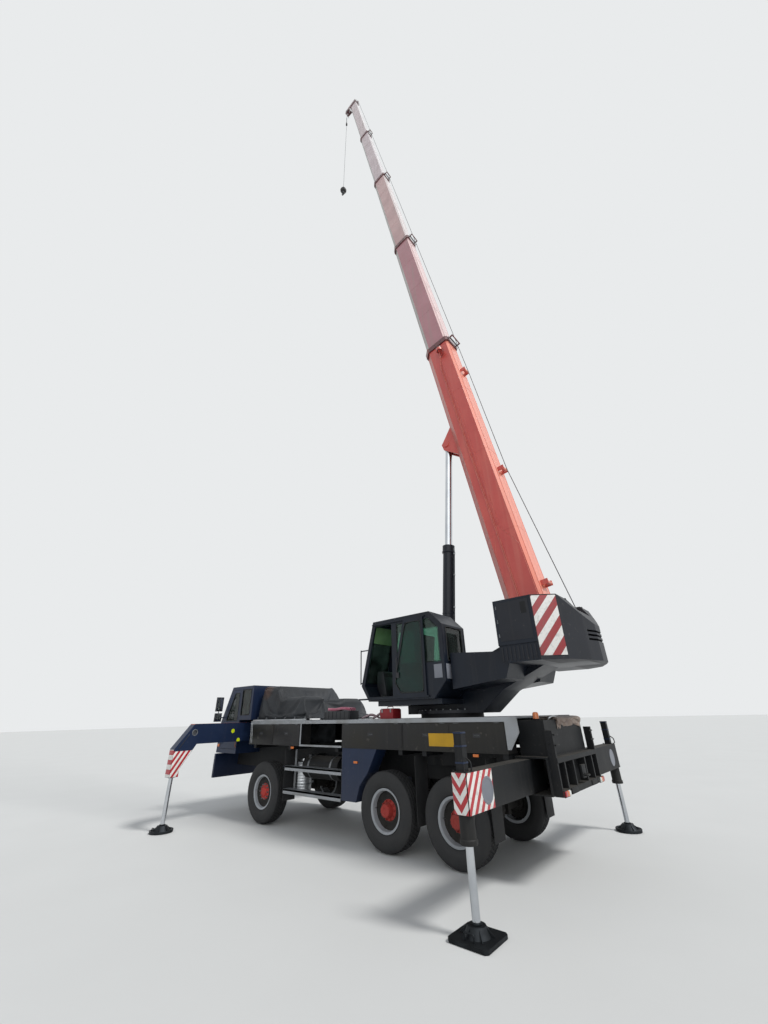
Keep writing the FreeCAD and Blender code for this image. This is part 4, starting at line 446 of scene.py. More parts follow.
def turned(profile, axis, centre, sides=32, slot=0, slots=None):
    # profile: (along the axis, radius), open at both ends when its radii aren't 0
    rings = []
    for along, radius in profile:
        ring = []
        for i in range(sides if radius > 1e-6 else 1):
            angle = 2 * math.pi * i / sides
            across = (radius * math.cos(angle), radius * math.sin(angle))
            spot = {"x": (along, *across), "y": (across[0], along, across[1]), "z": (*across, along)}[axis]
            ring.append(bm.verts.new(Vector(spot) + Vector(centre)))
        rings.append(ring)
    for step, (first, second) in enumerate(zip(rings, rings[1:])):
        for i in range(sides):
            j = (i + 1) % sides
            corners = [first[i % len(first)], first[j % len(first)], second[j % len(second)], second[i % len(second)]]
            corners = list(dict.fromkeys(corners))
            if len(corners) > 2:
                bm.faces.new(corners).material_index = slots[step] if slots else slot


def tube(points, radius, sides=8, slot=0):
    points = [Vector(point) for point in points]
    side = None
    rings = []
    for i, point in enumerate(points):
        before, after = points[max(i - 1, 0)], points[min(i + 1, len(points) - 1)]
        way = (after - before).normalized()
        if side is None:
            side = way.orthogonal().normalized()
        side = (side - way * side.dot(way)).normalized()
        other = way.cross(side)
        rings.append([bm.verts.new(point + (side * math.cos(a) + other * math.sin(a)) * radius)
                      for a in (2 * math.pi * k / sides for k in range(sides))])
    for first, second in zip(rings, rings[1:]):
        for i in range(sides):
            bm.faces.new((first[i], first[i - 1], second[i - 1], second[i])).material_index = slot
    for ring in (rings[0], rings[-1]):
        bm.faces.new(ring).material_index = slot


def bent(points, radius, steps=5):
    # the same run of points with its corners rounded
    points = [Vector(point) for point in points]
    line = [points[0]]
    for before, corner, after in zip(points, points[1:], points[2:]):
        start = corner + (before - corner).normalized() * radius
        end = corner + (after - corner).normalized() * radius
        for t in (i / steps for i in range(steps + 1)):
            line.append(start * (1 - t) ** 2 + corner * 2 * t * (1 - t) + end * t ** 2)
    return line + [points[-1]]


def pipe(points, corner, radius, sides=8, slot=0):
    tube(bent(points, corner), radius, sides, slot)


def seal(points, corner, radius, sides=8):
    # a closed ring, lapped over its first side
    pipe(points + points[:2], corner, radius, sides)


def staple(feet, rise, corner, radius, sides=8, slot=0):
    # a handle: up from the first foot, across and down to the second
    pipe([feet[0], Vector(feet[0]) + Vector(rise), Vector(feet[1]) + Vector(rise), feet[1]], corner, radius, sides, slot)


def circle(count, radius=1.0, start=0.0):
    return [(radius * math.cos(a), radius * math.sin(a)) for a in (2 * math.pi * (k + start) / count for k in range(count))]


def ring(count, radius=1.0):
    spots = circle(count, radius)
    return spots + spots[:1]


def hexHead(spot, axis, size, high, slot=0):
    # a bolt's head on its washer, standing along the axis; high may be negative
    turned([(0, size * 1.25), (high * 0.25, size * 1.25)], axis, spot, 12, slot)
    turned([(high * 0.25, size), (high, size * 0.95), (high, 0)], axis, spot, 6, slot)


def shaped(name, matrix=None):
    # what lies in the work mesh, as an object of its own
    mesh = bpy.data.meshes.new(name)
    bm.to_mesh(mesh)
    bm.clear()
    if matrix is not None:
        mesh.transform(matrix)
    return linked(name, mesh)


def finished(name, materials, body, bevel=0, angle=35, matrix=None):
    bmesh.ops.recalc_face_normals(bm, faces=bm.faces)
    if bevel:
        edges = [edge for edge in bm.edges if edge.is_manifold and edge.calc_face_angle(0) > math.radians(30)]
        bmesh.ops.bevel(bm, geom=edges, offset=bevel, segments=2, profile=0.7, affect="EDGES", clamp_overlap=True)
    piece = shaped(name, matrix)
    piece.data.shade_smooth()
    piece.data.set_sharp_from_angle(angle=math.radians(angle))
    for material in materials:
        piece.data.materials.append(material)
    if body:
        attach(piece, body)
    return piece


# Wheels: tyre with its tread, rim with its nuts

wheel = {"y": 1.045, "radius": 0.617, "bead": 0.320, "width": 0.370, "rim": 0.159, "axles": {"front": 2.65, "middle": -1.2, "rear": -2.7},
         "nuts": 10, "nutCircle": 0.145, "hubBolts": 12, "hubCircle": 0.096, "holes": 8, "holeCircle": 0.262, "lugs": 58,
         "rows": ((-0.150, -0.102), (-0.086, -0.042), (-0.026, 0.026), (0.042, 0.086), (0.102, 0.150))}


def makeTyre(name, body, x, y):
    r, b, half = wheel["radius"], wheel["bead"], wheel["width"] / 2
    side = [(0.139, b), (0.142, b + 0.03), (0.158, b + 0.045), (half * 0.97, b + 0.10), (half, b + 0.15),
            (half * 0.99, b + 0.165), (half * 0.995, b + 0.18), (half * 0.97, b + 0.225), (half * 0.90, b + 0.262),
            (0.148, r - 0.014)]
    for edge in (0.094, 0.034):
        side += [(edge + 0.007, r - 0.012), (edge, r - 0.026), (edge - 0.007, r - 0.012)]
    turned(side + [(-a, p) for a, p in reversed(side)], "y", (x, y, r), sides=96)
    pitch = 2 * math.pi / wheel["lugs"]
    wide = pitch * 0.36
    for k in range(wheel["lugs"]):
        for row, (low, high) in enumerate(wheel["rows"]):
            skew = 0.10 * (row % 2)
            corners = []
            for along, shift, shrink in ((low, -skew, 0.004), (high, skew, -0.004)):
                drop = 0.010 if abs(along) > 0.14 else 0
                for span in (-wide, wide):
                    for height, edge in ((r - 0.018, along), (r - 0.001, along + shrink)):
                        angle = pitch * (k + 0.5 * (row % 2)) + span + shift * wide
                        corners.append((x + (height - drop) * math.cos(angle), y + edge, r + (height - drop) * math.sin(angle)))
            closed(corners, boxQuads[:5])
    return finished(name, [tyreRubber], body, angle=30)


def makeRim(name, body, facing, x, y, driven):
    # facing is +1 on the left side; the disc lies outwards on the front axle and deep on the driven ones
    def spun(profile, spot=(0, 0), sides=48, slot=0, slots=None):
        turned([(facing * a, p) for a, p in profile], "y", (x + spot[0], y, r + spot[1]), sides, slot, slots)

    r, rim, bead = wheel["radius"], wheel["rim"], wheel["bead"]
    inner = bead - 0.020
    disc, cap = (0.020, 0.165) if driven else (0.060, 0.118)
    barrel = [(-rim, inner), (-rim, bead + 0.024), (-rim + 0.006, bead + 0.026), (-rim + 0.018, bead + 0.018),
              (-rim + 0.02, bead - 0.001), (rim - 0.02, bead - 0.001), (rim - 0.018, bead + 0.018),
              (rim - 0.006, bead + 0.026), (rim, bead + 0.022), (rim - 0.004, bead + 0.004), (rim - 0.018, inner + 0.006),
              (rim - 0.05, inner), (disc + 0.03, inner - 0.004), (disc + 0.012, inner - 0.02)]
    # the dish and the barrel's inner end take slot 2, chassis black: painted shade in the disc's deep hollow
    dish = [(disc + 0.004, 0.235), (disc + 0.010, 0.205), (disc + 0.020, 0.19), (disc + 0.020, 0.165)]
    spun(barrel + dish, sides=72, slots=[0] * (len(barrel) - 2) + [2] * (len(dish) + 1))
    hub = [(disc + 0.020, 0.165), (disc + 0.026, 0.160), (disc + 0.030, 0.128)]
    if driven:
        hub += [(disc + 0.036, 0.118), (cap - 0.03, 0.108), (cap - 0.008, 0.100), (cap, 0.088), (cap, 0.052),
                (cap - 0.006, 0.046), (cap - 0.006, 0)]
    else:
        hub += [(disc + 0.030, 0.100), (cap - 0.012, 0.092), (cap - 0.002, 0.082), (cap, 0.06), (cap, 0)]
    spun(hub, slot=1)
    spun([(-0.08, 0.061), (-0.08, 0.158), (disc - 0.02, 0.158), (disc, 0.19), (disc - 0.01, inner - 0.004)], slot=2)
    for spot in circle(wheel["nuts"], wheel["nutCircle"]):
        spun([(disc + 0.02, 0.017), (disc + 0.032, 0.017), (disc + 0.034, 0.013), (disc + 0.056, 0.013),
              (disc + 0.058, 0.008), (disc + 0.070, 0.008), (disc + 0.072, 0)], spot, 6, 1 if driven else 3)
    for spot in circle(wheel["hubBolts"], wheel["hubCircle"], 0.5) if driven else ():
        spun([(cap - 0.02, 0.008), (cap - 0.001, 0.008), (cap - 0.001, 0)], spot, 6, 1)
    # hand holes of the disc, seen as dark ovals set into it: shallow dents painted chassis black, painted shade where
    # the open holes are
    for spot in circle(wheel["holes"], wheel["holeCircle"], 0.5):
        spun([(disc + 0.013, 0.0), (disc + 0.013, 0.020), (disc + 0.017, 0.022)], spot, 16, 2)
    valve = [(0.28, 0.01, 0), (0.285, 0.05, 0.01), (0.30, 0.075, 0.015)]
    tube([(x + a, y + facing * (disc + b), r + c) for a, b, c in valve], 0.005, 6, slot=3)
    return finished(name, [silverLacquer, hubEnamel, chassisBlack, zincSteel], body, angle=30)


for axle, x in wheel["axles"].items():
    for side, facing in flanks:
        where = "%s_%s" % (axle, side)
        y = facing * wheel["y"]
        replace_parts(makeTyre("tread_tyre_" + where, "wheel_" + where, x, y), "tyre_" + where)
        rim = makeRim("dished_rim_" + where, "wheel_" + where, facing, x, y, axle != "front")
        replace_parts(rim, "rim_" + where)
print("wheels made")


# Boom fittings, in the boom's own frame

form = {"half": 0.28, "narrower": 0.034, "mid": 0.38, "tall": 0.40, "shorter": 0.04, "lower": 0.15, "upper": 0.06,
        "start": 0.30, "bead": 0.005, "bolt": 0.011}
boomBodies = ["boom", "section_2", "section_3", "section_4", "section_5"]


def band(x, y, half, low, high):
    # a flat hoop round a square tube
    for side in (-1, 1):
        block((x - half, y + side * (half - 0.002), low), (x + half, y + side * half, high))
        block((x + side * (half - 0.002), y - half, low), (x + side * half, y + half, high))


def sectionFittings(row, body):
    half = form["half"] - row * form["narrower"]
    tall = form["tall"] - row * form["shorter"]
    end = boom["base"] + row * boom["step"]
    start = end - boom["step"] + 0.01 if row else form["start"]
    low, high = form["mid"] - tall, form["mid"] + tall
    lower, upper = form["lower"] - row * 0.022, form["upper"] - row * 0.011
    for y, z in ((half, low + lower), (half, high - upper), (half - upper, high), (half - lower, low)):
        for side in (1, -1):
            tube([(start, side * y, z), (end - boom["collar"] + 0.01, side * y, z)], form["bead"], 6)
    hoop = [(half, low + lower), (half, high - upper), (half - upper, high), (-half + upper, high),
            (-half, high - upper), (-half, low + lower), (-half + lower, low), (half - lower, low), (half, low + lower)]
    for k in range(3):
        tube([(start + (end - start) * (k + 1) / 4, y, z) for y, z in hoop], 0.003, 6)
    finished("weld_beads_" + body, [list(sectionEnamel.values())[row]], body, matrix=boomTurn)
    collarHalf, collarTop = half + form["narrower"], high + form["narrower"]
    for side in (1, -1):
        for x in (end - 0.13, end - 0.045):
            for share in (-0.5, 0, 0.5):
                hexHead((x, side * collarHalf, form["mid"] + share * tall), "y", form["bolt"], side * 0.014)
            hexHead((x, side * half * 0.55, collarTop), "z", form["bolt"], 0.014)
    # roller in the rope frame and the lifting eyes of the head
    if row < 4:
        turned([(-half + 0.10, 0.022), (half - 0.10, 0.022)], "y", (end - 0.0725, 0, collarTop + 0.05), 16)
    for y in (half - 0.03, 0.03 - half):
        tube([(end - 0.14, y, collarTop), (end - 0.14, y, collarTop + 0.06), (end - 0.08, y, collarTop + 0.06),
              (end - 0.08, y, collarTop)], 0.009)
    finished("head_fittings_" + body, [zincSteel], body, matrix=boomTurn)


for row, body in enumerate(boomBodies):
    sectionFittings(row, body)

# foot of the base section: beads round the doubling plates, boss rings, hose brackets up the left side
doubling = [(0.30, 0.15), (2.16, 0.15), (2.76, 0.38), (2.16, 0.70), (0.30, 0.70), (0.30, 0.15)]
for side in (1, -1):
    tube([(x, side * 0.288, z) for x, z in doubling], 0.006, 6)
    tube([(x, side * 0.284, z) for x, z in ring(24, 0.15)], 0.006, 6)
    for x in (3.1, 4.9, 6.7):
        block((x, side * 0.279, 0.30), (x + 0.06, side * 0.298, 0.345))
finished("base_section_brackets", [sectionEnamel["boom_base"]], "boom", bevel=0.002, matrix=boomTurn)

run = bent([(0.55, 0.300, 0.22), (0.9, 0.300, 0.32), (8.2, 0.300, 0.32), (8.6, 0.300, 0.40), (8.74, 0.36, 0.46)], 0.08)
tube(run, 0.011)
tube([(p.x, p.y, p.z + 0.028) for p in run[:-2]], 0.008)
finished("boom_cable_pipes", [sectionEnamel["boom_base"]], "boom", matrix=boomTurn)

lamp = (8.87, 0.41, 0.49)
turned([(-0.135, 0.05), (-0.128, 0.074), (-0.02, 0.087), (0.004, 0.089), (0.010, 0.082), (0.004, 0.078)], "x", lamp)
turned([(0.002, 0.079), (0.008, 0.05), (0.010, 0)], "x", lamp, slot=1)
for y, z in circle(8, 0.08):
    block((lamp[0] - 0.11, lamp[1] + y - 0.004, lamp[2] + z - 0.004), (lamp[0] - 0.03, lamp[1] + y + 0.004, lamp[2] + z + 0.004))
pipe([(8.75, 0.41, 0.58), (8.70, 0.41, 0.62), (8.62, 0.34, 0.55), (8.6, 0.29, 0.42)], 0.03, 0.007)
finished("work_lamp_head", [blackPlastic, clearLens], "boom", matrix=boomTurn)
print("boom fitted")


# Hoist rope, taut: winding on the drum, over the rollers, along the boom's back and round the tip's sheaves

rope = {"radius": 0.009, "y": -0.065, "drum": (-4.81, 0, 3.56), "drumRadius": 0.150, "half": 0.28, "pitch": 0.0187,
        "back": 0.934, "fall": 0.00691, "rollers": (4.16, 7.8), "sheave": 36.89, "upper": 0.58, "lower": -0.16,
        "hangs": 2.2754, "leaves": 39.4608, "socket": 29.70}
profile = []
for k in range(int(2 * rope["half"] / rope["pitch"])):
    middle = -rope["half"] + (k + 0.5) * rope["pitch"]
    for angle in (math.pi * share / 4 for share in range(5)):
        profile.append((middle - math.cos(angle) * rope["radius"],
                        rope["drumRadius"] + 0.002 + rope["radius"] * math.sin(angle)))
turned(profile, "y", rope["drum"], 40)
finished("rope_on_drum", [wireRope], "superstructure", angle=80)


def taut(name, first, second, start, end, sides=8, turn=Matrix()):
    # rope from start to end, with rings only at its ends so that it stays straight; first and second, the bodies at its
    # ends, are not used
    tube([start, end], rope["radius"], sides)
    piece = finished(name, [wireRope], None, angle=80, matrix=turn)
    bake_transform(piece)
    return piece


def onBack(x):
    return Vector((x, rope["y"], rope["back"] - rope["fall"] * max(0, x - rope["rollers"][1])))


taut("rope_drum_to_boom", "superstructure", "boom", Vector((-4.965, rope["y"], 3.60)),
     boomTurn @ onBack(rope["rollers"][0]))
# from head to head: one run between each two rollers
heads = [rope["rollers"][0]] + [boom["base"] + k * boom["step"] for k in range(4)] + [rope["sheave"]]
tube([onBack(heads[0] + (heads[1] - heads[0]) * k / 12) for k in range(13)], rope["radius"])
finished("rope_along_boom", [wireRope], "boom", angle=80, matrix=boomTurn)
for row in range(1, 5):
    taut("rope_along_" + boomBodies[row], boomBodies[row - 1], boomBodies[row], onBack(heads[row]),
         onBack(heads[row + 1]), turn=boomTurn)
points = []
for centre, radius, first, last in ((rope["upper"], 0.1555, 90, 0), (rope["lower"], 0.1965, 0, -81)):
    for a in (math.radians(first + (last - first) * k / 10) for k in range(11)):
        points.append((rope["sheave"] + radius * math.cos(a), rope["y"], centre + radius * math.sin(a)))
tube(points, rope["radius"])
finished("rope_round_sheaves", [wireRope], "section_5", angle=80, matrix=boomTurn)
# the fall: from the tip's sheave down to the ball's socket
fall = [Vector((rope["hangs"], rope["y"], rope[end])) for end in ("leaves", "socket")]
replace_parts(taut("rope_fall", "hoist_line", "hook", *fall, sides=12), "hoist_rope")

block((rope["sheave"] - 0.11, -0.205, -0.34), (rope["sheave"] + 0.24, -0.17, -0.31))
for z in (rope["lower"], rope["upper"]):
    for side in (1, -1):
        hexHead((rope["sheave"], side * 0.144, z), "y", 0.036, side * 0.02)
        turned([(side * 0.144, 0.075), (side * 0.150, 0.075), (side * 0.150, 0.03)], "y", (rope["sheave"], 0, z), 24)
finished("tip_axle_nuts", [zincSteel], "section_5", bevel=0.002, matrix=boomTurn)

# limit switch weight, hung round the rope under the tip by its chain
weight = {"high": 38.28, "links": 34, "pitch": 0.03}
turned([(38.02, 0.014), (38.02, 0.046), (38.04, 0.055), (38.26, 0.055), (38.28, 0.046), (38.28, 0.014)], "z",
       (rope["hangs"], rope["y"], 0), 24)
for k in range(weight["links"]):
    x, y = (0.004, 0.009) if k % 2 else (0.009, 0.004)
    spot = (rope["hangs"] + 0.03, rope["y"], weight["high"] + weight["pitch"] * k)
    tube([(spot[0] + x * a, spot[1] + y * a, spot[2] + 0.018 * b) for a, b in ring(8)], 0.003, 5, 1)
finished("limit_weight", [hookEnamel, zincSteel], "hoist_line")
print("rope laid")


# Hook: ball's joint and bolts, socket, safety latch

hook = {"x": 2.2754, "y": -0.065, "ball": 29.5058, "radius": 0.175, "bowl": 29.1408}
tube([(hook["x"] + a, hook["y"] + b, hook["ball"]) for a, b in ring(36, hook["radius"] * 0.99)], 0.004, 6)
for a, b in circle(4, 0.11, 0.5):
    hexHead((hook["x"] + a, hook["y"] + b, hook["ball"] + 0.128), "z", 0.012, 0.016, 1)
turned([(0, 0.026), (0.05, 0.030), (0.11, 0.022), (0.16, 0.012), (0.16, 0.009)], "z",
       (hook["x"], hook["y"], hook["ball"] + 0.165), 20, 1)
turned([(0, 0.045), (0.012, 0.05), (0.05, 0.05), (0.062, 0.04), (0.062, 0.02)], "z",
       (hook["x"], hook["y"], hook["ball"] - 0.222), 8, 1)
finished("ball_fittings", [hookEnamel, zincSteel], "hook")
latch = ((0.010, 0.100), (0.036, 0.112), (0.094, 0.052), (0.088, 0.044))
prism([(hook["x"] + x, hook["bowl"] + z) for x, z in latch], "y", hook["y"] - 0.014, hook["y"] + 0.014)
tube([(hook["x"] + 0.026, hook["y"] + y, hook["bowl"] + 0.104) for y in (-0.034, 0.034)], 0.006)
finished("safety_latch", [zincSteel], "hook", bevel=0.002)
print("hook fitted")


# Luffing cylinder, along its own axis from the lower pin

cylinder = {"pin": (-2.0, 0, 2.6), "lean": math.atan2(0.6897, 6.037), "glandBolts": 12, "unions": (0.30, 1.0, 1.75, 2.5, 3.02)}
cylinderTurn = Matrix.Translation(cylinder["pin"]) @ Matrix.Rotation(-cylinder["lean"], 4, "Y")
turned([(3.045, 0.133), (3.050, 0.152), (3.058, 0.156), (3.085, 0.156), (3.092, 0.150), (3.092, 0.147)], "z", (0, 0, 0), 40)
turned([(3.225, 0.147), (3.236, 0.135), (3.240, 0.120), (3.242, 0.089)], "z", (0, 0, 0), 40)
for z in (0.25, 1.6):
    turned([(z, 0.132), (z + 0.004, 0.138), (z + 0.024, 0.138), (z + 0.028, 0.132)], "z", (0, 0, 0), 40)
for x, y in circle(cylinder["glandBolts"], 0.122):
    hexHead((x, y, 3.228), "z", 0.009, 0.016)
finished("cylinder_gland", [blackEnamel], "cylinder_barrel", matrix=cylinderTurn)
for z in cylinder["unions"]:
    turned([(z - 0.02, 0.018), (z - 0.02, 0.024), (z + 0.02, 0.024), (z + 0.02, 0.018)], "z", (-0.158, 0, 0), 12)
block((-0.215, -0.06, 0.16), (-0.095, 0.06, 0.30))
pipe([(-0.158, 0, 3.05), (-0.158, 0, 3.12), (-0.13, 0, 3.14)], 0.02, 0.017, 10)
for y in (-0.03, 0.03):
    hexHead((-0.215, y, 0.23), "x", 0.016, -0.03)
finished("cylinder_valve_and_unions", [zincSteel], "cylinder_barrel", bevel=0.002, matrix=cylinderTurn)
turned([(5.93, 0.089), (5.935, 0.098), (5.96, 0.100)], "z", (0, 0, 0))
for side in (1, -1):
    turned([(side * 0.087, 0.06), (side * 0.087, 0.112), (side * 0.092, 0.108), (side * 0.092, 0.06)], "y", (0, 0, 6.0765))
finished("rod_eye_rings", [blackEnamel], "cylinder_rod", matrix=cylinderTurn)
print("cylinder fitted")


# Outriggers: striped plates, boss, caps, pads with raised rims and handles

arm = {"half": 0.11, "rear": {"left": -3.925, "right": -4.155}, "front": {"left": 3.795, "right": 3.565},
       "rearOut": 2.85, "frontOut": 2.9}


def makePad(where, side, mirror):
    x, y = arm[where][side], arm[where + "Out"]
    centre = (x, mirror * y, 0)
    if where == "rear" and side == "left":
        prism([(x + a, mirror * y + b) for a, b in
               ((-0.21, -0.243), (0.21, -0.243), (0.243, -0.21), (0.243, 0.21), (0.21, 0.243), (-0.21, 0.243),
                (-0.243, 0.21), (-0.243, -0.21))], "z", 0.0, 0.036)
        turned([(0.030, 0.12), (0.036, 0.150), (0.122, 0.100), (0.124, 0.05)], "z", centre)
    else:
        turned([(0.0, 0.0), (0.0, 0.236), (0.046, 0.240), (0.050, 0.236), (0.034, 0.222), (0.033, 0.16),
                (0.122, 0.100), (0.124, 0.05)], "z", centre, 40)
    turned([(0.122, 0.049), (0.128, 0.062), (0.140, 0.062), (0.146, 0.048)], "z", centre, 24)
    for n in range(6):
        rib = Matrix.Translation(centre) @ Matrix.Rotation(n * math.pi / 3 + 0.26, 4, "Z")
        closed([rib @ Vector((a, b, c)) for b in (0.004, -0.004) for a, c in ((0.10, 0.118), (0.20, 0.040), (0.10, 0.034))],
               ((0, 1, 2), (3, 4, 5), (0, 1, 4, 3), (1, 2, 5, 4), (0, 2, 5, 3)))
    handle = mirror * (y + 0.18)
    staple([(x - 0.06, handle, 0.036), (x + 0.06, handle, 0.036)], (0, 0, 0.064), 0.02, 0.008)
    finished("dished_pad_%s_%s" % (where, side), [castIron], "jack_%s_%s" % (where, side))


for side, mirror in flanks:
    x, y, body = arm["rear"][side], mirror * arm["rearOut"], "beam_rear_" + side
    face = x - arm["half"]
    if side == "left":
        block((face - 0.002, 2.32, 1.09), (face, 2.947, 1.51))
        block((x - 0.098, 2.950, 1.09), (x + 0.098, 2.954, 1.51), 1)
        finished("striped_plates_rear_left", [rearStripes, endStripes], body, bevel=0.0015)
    turned([(face - 0.001, 0.150), (face - 0.004, 0.150), (face - 0.006, 0.140), (face - 0.006, 0.122),
            (face - 0.003, 0.118), (face - 0.003, 0)], "x", (0, mirror * 2.475, 1.29), 40)
    finished("pin_cap_rear_" + side, [greyEnamel], body)
    for z in (1.095, 1.505):
        band(x, y, 0.1025, z - 0.012, z + 0.012)
    for a, b in ((-0.08, -0.08), (0.08, -0.08), (-0.08, 0.08), (0.08, 0.08)):
        hexHead((x + a, y + b, 1.517), "z", 0.012, 0.016)
    turned([(0.80, 0.048), (0.80, 0.10), (0.815, 0.104), (0.85, 0.104), (0.86, 0.094)], "z", (x, y, 0))
    pipe([(x - 0.13, y, 1.53), (x - 0.13, y, 1.62), (x - 0.07, y, 1.66)], 0.03, 0.010)
    finished("jack_housing_rear_" + side, [chassisBlack], body, bevel=0.003)
    for z in (1.60, 1.78, 1.928):
        band(x, y, 0.0595, z, z + 0.02)
    finished("tube_cap_rear_" + side, [navyEnamel], body, bevel=0.003)

    x, body = arm["front"][side], "beam_front_" + side
    face, back = x - arm["half"], x + arm["half"]
    leg = ((2.802, 1.015), (2.998, 1.015), (2.998, 1.52), (2.572, 1.52), (2.802, 1.178))
    for outer in (face - 0.004, back):
        prism([(mirror * y, z) for y, z in leg], "x", outer, outer + 0.004)
    block((x - 0.105, mirror * 3.000, 1.015), (x + 0.105, mirror * 3.004, 1.555))
    turned([(1.0, 0.048), (0.995, 0.07), (1.005, 0.085), (1.012, 0.085)], "z", (x, mirror * arm["frontOut"], 0), slot=1)
    finished("striped_plates_front_" + side, [legStripes, zincSteel], body, bevel=0.0015)
    for depth, way in ((face, -1), (back, 1)):
        turned([(depth, 0.052), (depth + way * 0.003, 0.054), (depth + way * 0.004, 0.068), (depth, 0.072)], "x",
               (0, mirror * 2.57, 1.892), slot=1)
    pipe([(face - 0.001, mirror * 2.70, 1.86), (face - 0.014, mirror * 2.72, 1.84), (face - 0.014, mirror * 2.88, 1.60),
          (face - 0.001, mirror * 2.90, 1.57)], 0.02, 0.008)
    finished("elbow_ring_and_pipe_" + side, [blackPlastic, zincSteel], body)
    makePad("front", side, mirror)
    makePad("rear", side, mirror)
print("outriggers fitted")


# Deck sides: locker doors, blank plate, markers, step fronts

locker = {"y": 1.2245, "thick": 0.0045, "low": 1.60, "high": 2.01, "inset": 0.02, "cut": 0.02,
          "doors": ((-3.78, -1.698, 2), (-1.69, -0.05, 1), (1.35, 3.40, 2))}
for side, mirror in flanks:
    face, cut, bottom, top = locker["y"], locker["cut"], locker["low"], locker["high"]
    for rear, front, count in locker["doors"]:
        span = (front - rear) / count
        for low, high in ((rear + k * span + locker["inset"], rear + (k + 1) * span - locker["inset"]) for k in range(count)):
            prism([(low + cut, bottom), (high - cut, bottom), (high, bottom + cut), (high, top - cut), (high - cut, top),
                   (low + cut, top), (low, top - cut), (low, bottom + cut)], "y", mirror * face, mirror * (face + locker["thick"]))
            middle = (low + high) / 2
            for x in (low + 0.12, high - 0.12):
                turned([(-0.05, 0.007), (0.05, 0.007)], "x", (x, mirror * (face + 0.004), top + 0.006), 10, 1)
            block((middle - 0.07, mirror * (face + 0.003), 1.80), (middle + 0.07, mirror * (face + 0.0055), 1.86), 2)
            tube([(middle + a, mirror * 1.2295, 1.83) for a in (-0.05, 0.05)], 0.005, slot=1)
    finished("locker_doors_" + side, [lockerEnamel, zincSteel, blackPlastic], "carrier", bevel=0.0015)
block((-2.84, 1.2290, 1.66), (-2.29, 1.2315, 1.86))
finished("yellow_plate_blank", [yellowEnamel], "carrier", bevel=0.001)
for x, z in ((-0.46, 1.34), (1.60, 1.545), (-3.2, 1.545)):
    for mirror in (1, -1):
        block((x - 0.05, mirror * 1.208, z - 0.02), (x + 0.05, mirror * 1.228, z + 0.02))
finished("side_markers", [amberLens], "carrier", bevel=0.004)
# step fronts: folded tread plate hanging from each step, clear of the ladder's posts
for z in (0.74, 1.18):
    for mirror in (1, -1):
        block((-0.04, mirror * 1.206, z - 0.085), (1.84, mirror * 1.210, z))
        block((-0.04, mirror * 1.185, z - 0.089), (1.84, mirror * 1.210, z - 0.085))
finished("step_fronts", [checker], "carrier", bevel=0.001)

# silver filter with its pressed ribs behind the steps; straps and caps of the tanks
airFilter = {"x": 1.64, "y": 0.80, "radius": 0.185, "groove": 0.178, "ribs": 9, "pitch": 0.055}
outer, centre = airFilter["radius"], (airFilter["x"], airFilter["y"], 0)
profile = [(0.68, 0.0), (0.68, 0.17), (0.70, outer)]
for z in (0.72 + k * airFilter["pitch"] for k in range(airFilter["ribs"])):
    profile += [(z, outer), (z + 0.02, airFilter["groove"]), (z + 0.035, airFilter["groove"]), (z + 0.05, outer)]
turned(profile + [(1.235, outer), (1.25, 0.17), (1.26, 0.08), (1.30, 0.07), (1.31, 0.0)], "z", centre, 40)
for strap, arch in ((0.80, 0.80), (1.14, 1.13)):
    turned([(strap, outer + 0.002), (strap + 0.03, outer + 0.002)], "z", centre, 40, 1)
    block((1.61, 0.52, arch), (1.67, 0.63, arch + 0.04), 1)
finished("air_filter", [aluminium, zincSteel], "carrier")
for mirror in (1, -1):
    for x in (0.52, 1.25):
        turned([(x, 0.228), (x + 0.05, 0.228), (x + 0.05, 0.226)], "x", (0, mirror * 0.775, 1.15), 40)
    turned([(0.20, 0.05), (0.25, 0.055), (0.265, 0.05), (0.27, 0.0)], "z", (1.35, mirror * 0.86, 1.13), 20, 1)
finished("tank_straps", [zincSteel, blackPlastic], "carrier")
print("sides fitted")


# Gear on the deck beside the crane's table

block((-1.40, 0.88, 2.101), (-1.06, 1.14, 2.27))
block((-1.385, 0.895, 2.27), (-1.075, 1.125, 2.285))
for x in (-1.34, -1.12):
    block((x - 0.02, 1.136, 2.21), (x + 0.02, 1.146, 2.28), 1)
staple([(-1.30, 1.01, 2.285), (-1.16, 1.01, 2.285)], (0, 0, 0.035), 0.015, 0.007, slot=1)
finished("red_tool_box", [redEnamel, zincSteel], "carrier", bevel=0.006)
block((-0.19, 0.86, 2.101), (0.62, 1.15, 2.27))
for x in (-0.16 + k * 0.125 for k in range(7)):
    block((x, 0.853, 2.12), (x + 0.02, 1.157, 2.26))
finished("black_deck_box", [blackPlastic], "carrier", bevel=0.006)
for y in (0.93, 1.00, 1.07):
    pipe([(-0.14, y, 2.30), (0.1, y + 0.01, 2.325), (0.35, y - 0.005, 2.30), (0.56, y, 2.31)], 0.05, 0.030, 12)
finished("rolled_slings", [slingWeb], "carrier")
for k, (x, y) in enumerate(((-0.98, 1.02), (-0.93, 0.94), (-0.70, 1.05), (-0.62, 0.95))):
    pipe([(x - 0.16, y - 0.12, 2.12), (x - 0.05, y, 2.24 - 0.02 * k), (x + 0.10, y + 0.04, 2.15), (x + 0.22, y, 2.118)],
         0.07, 0.018, 10)
finished("sleeved_pipes", [hoseRubber], "carrier")
print("deck dressed")


# Rear end: lamp boxes, lamp bar, beacon, mudflaps

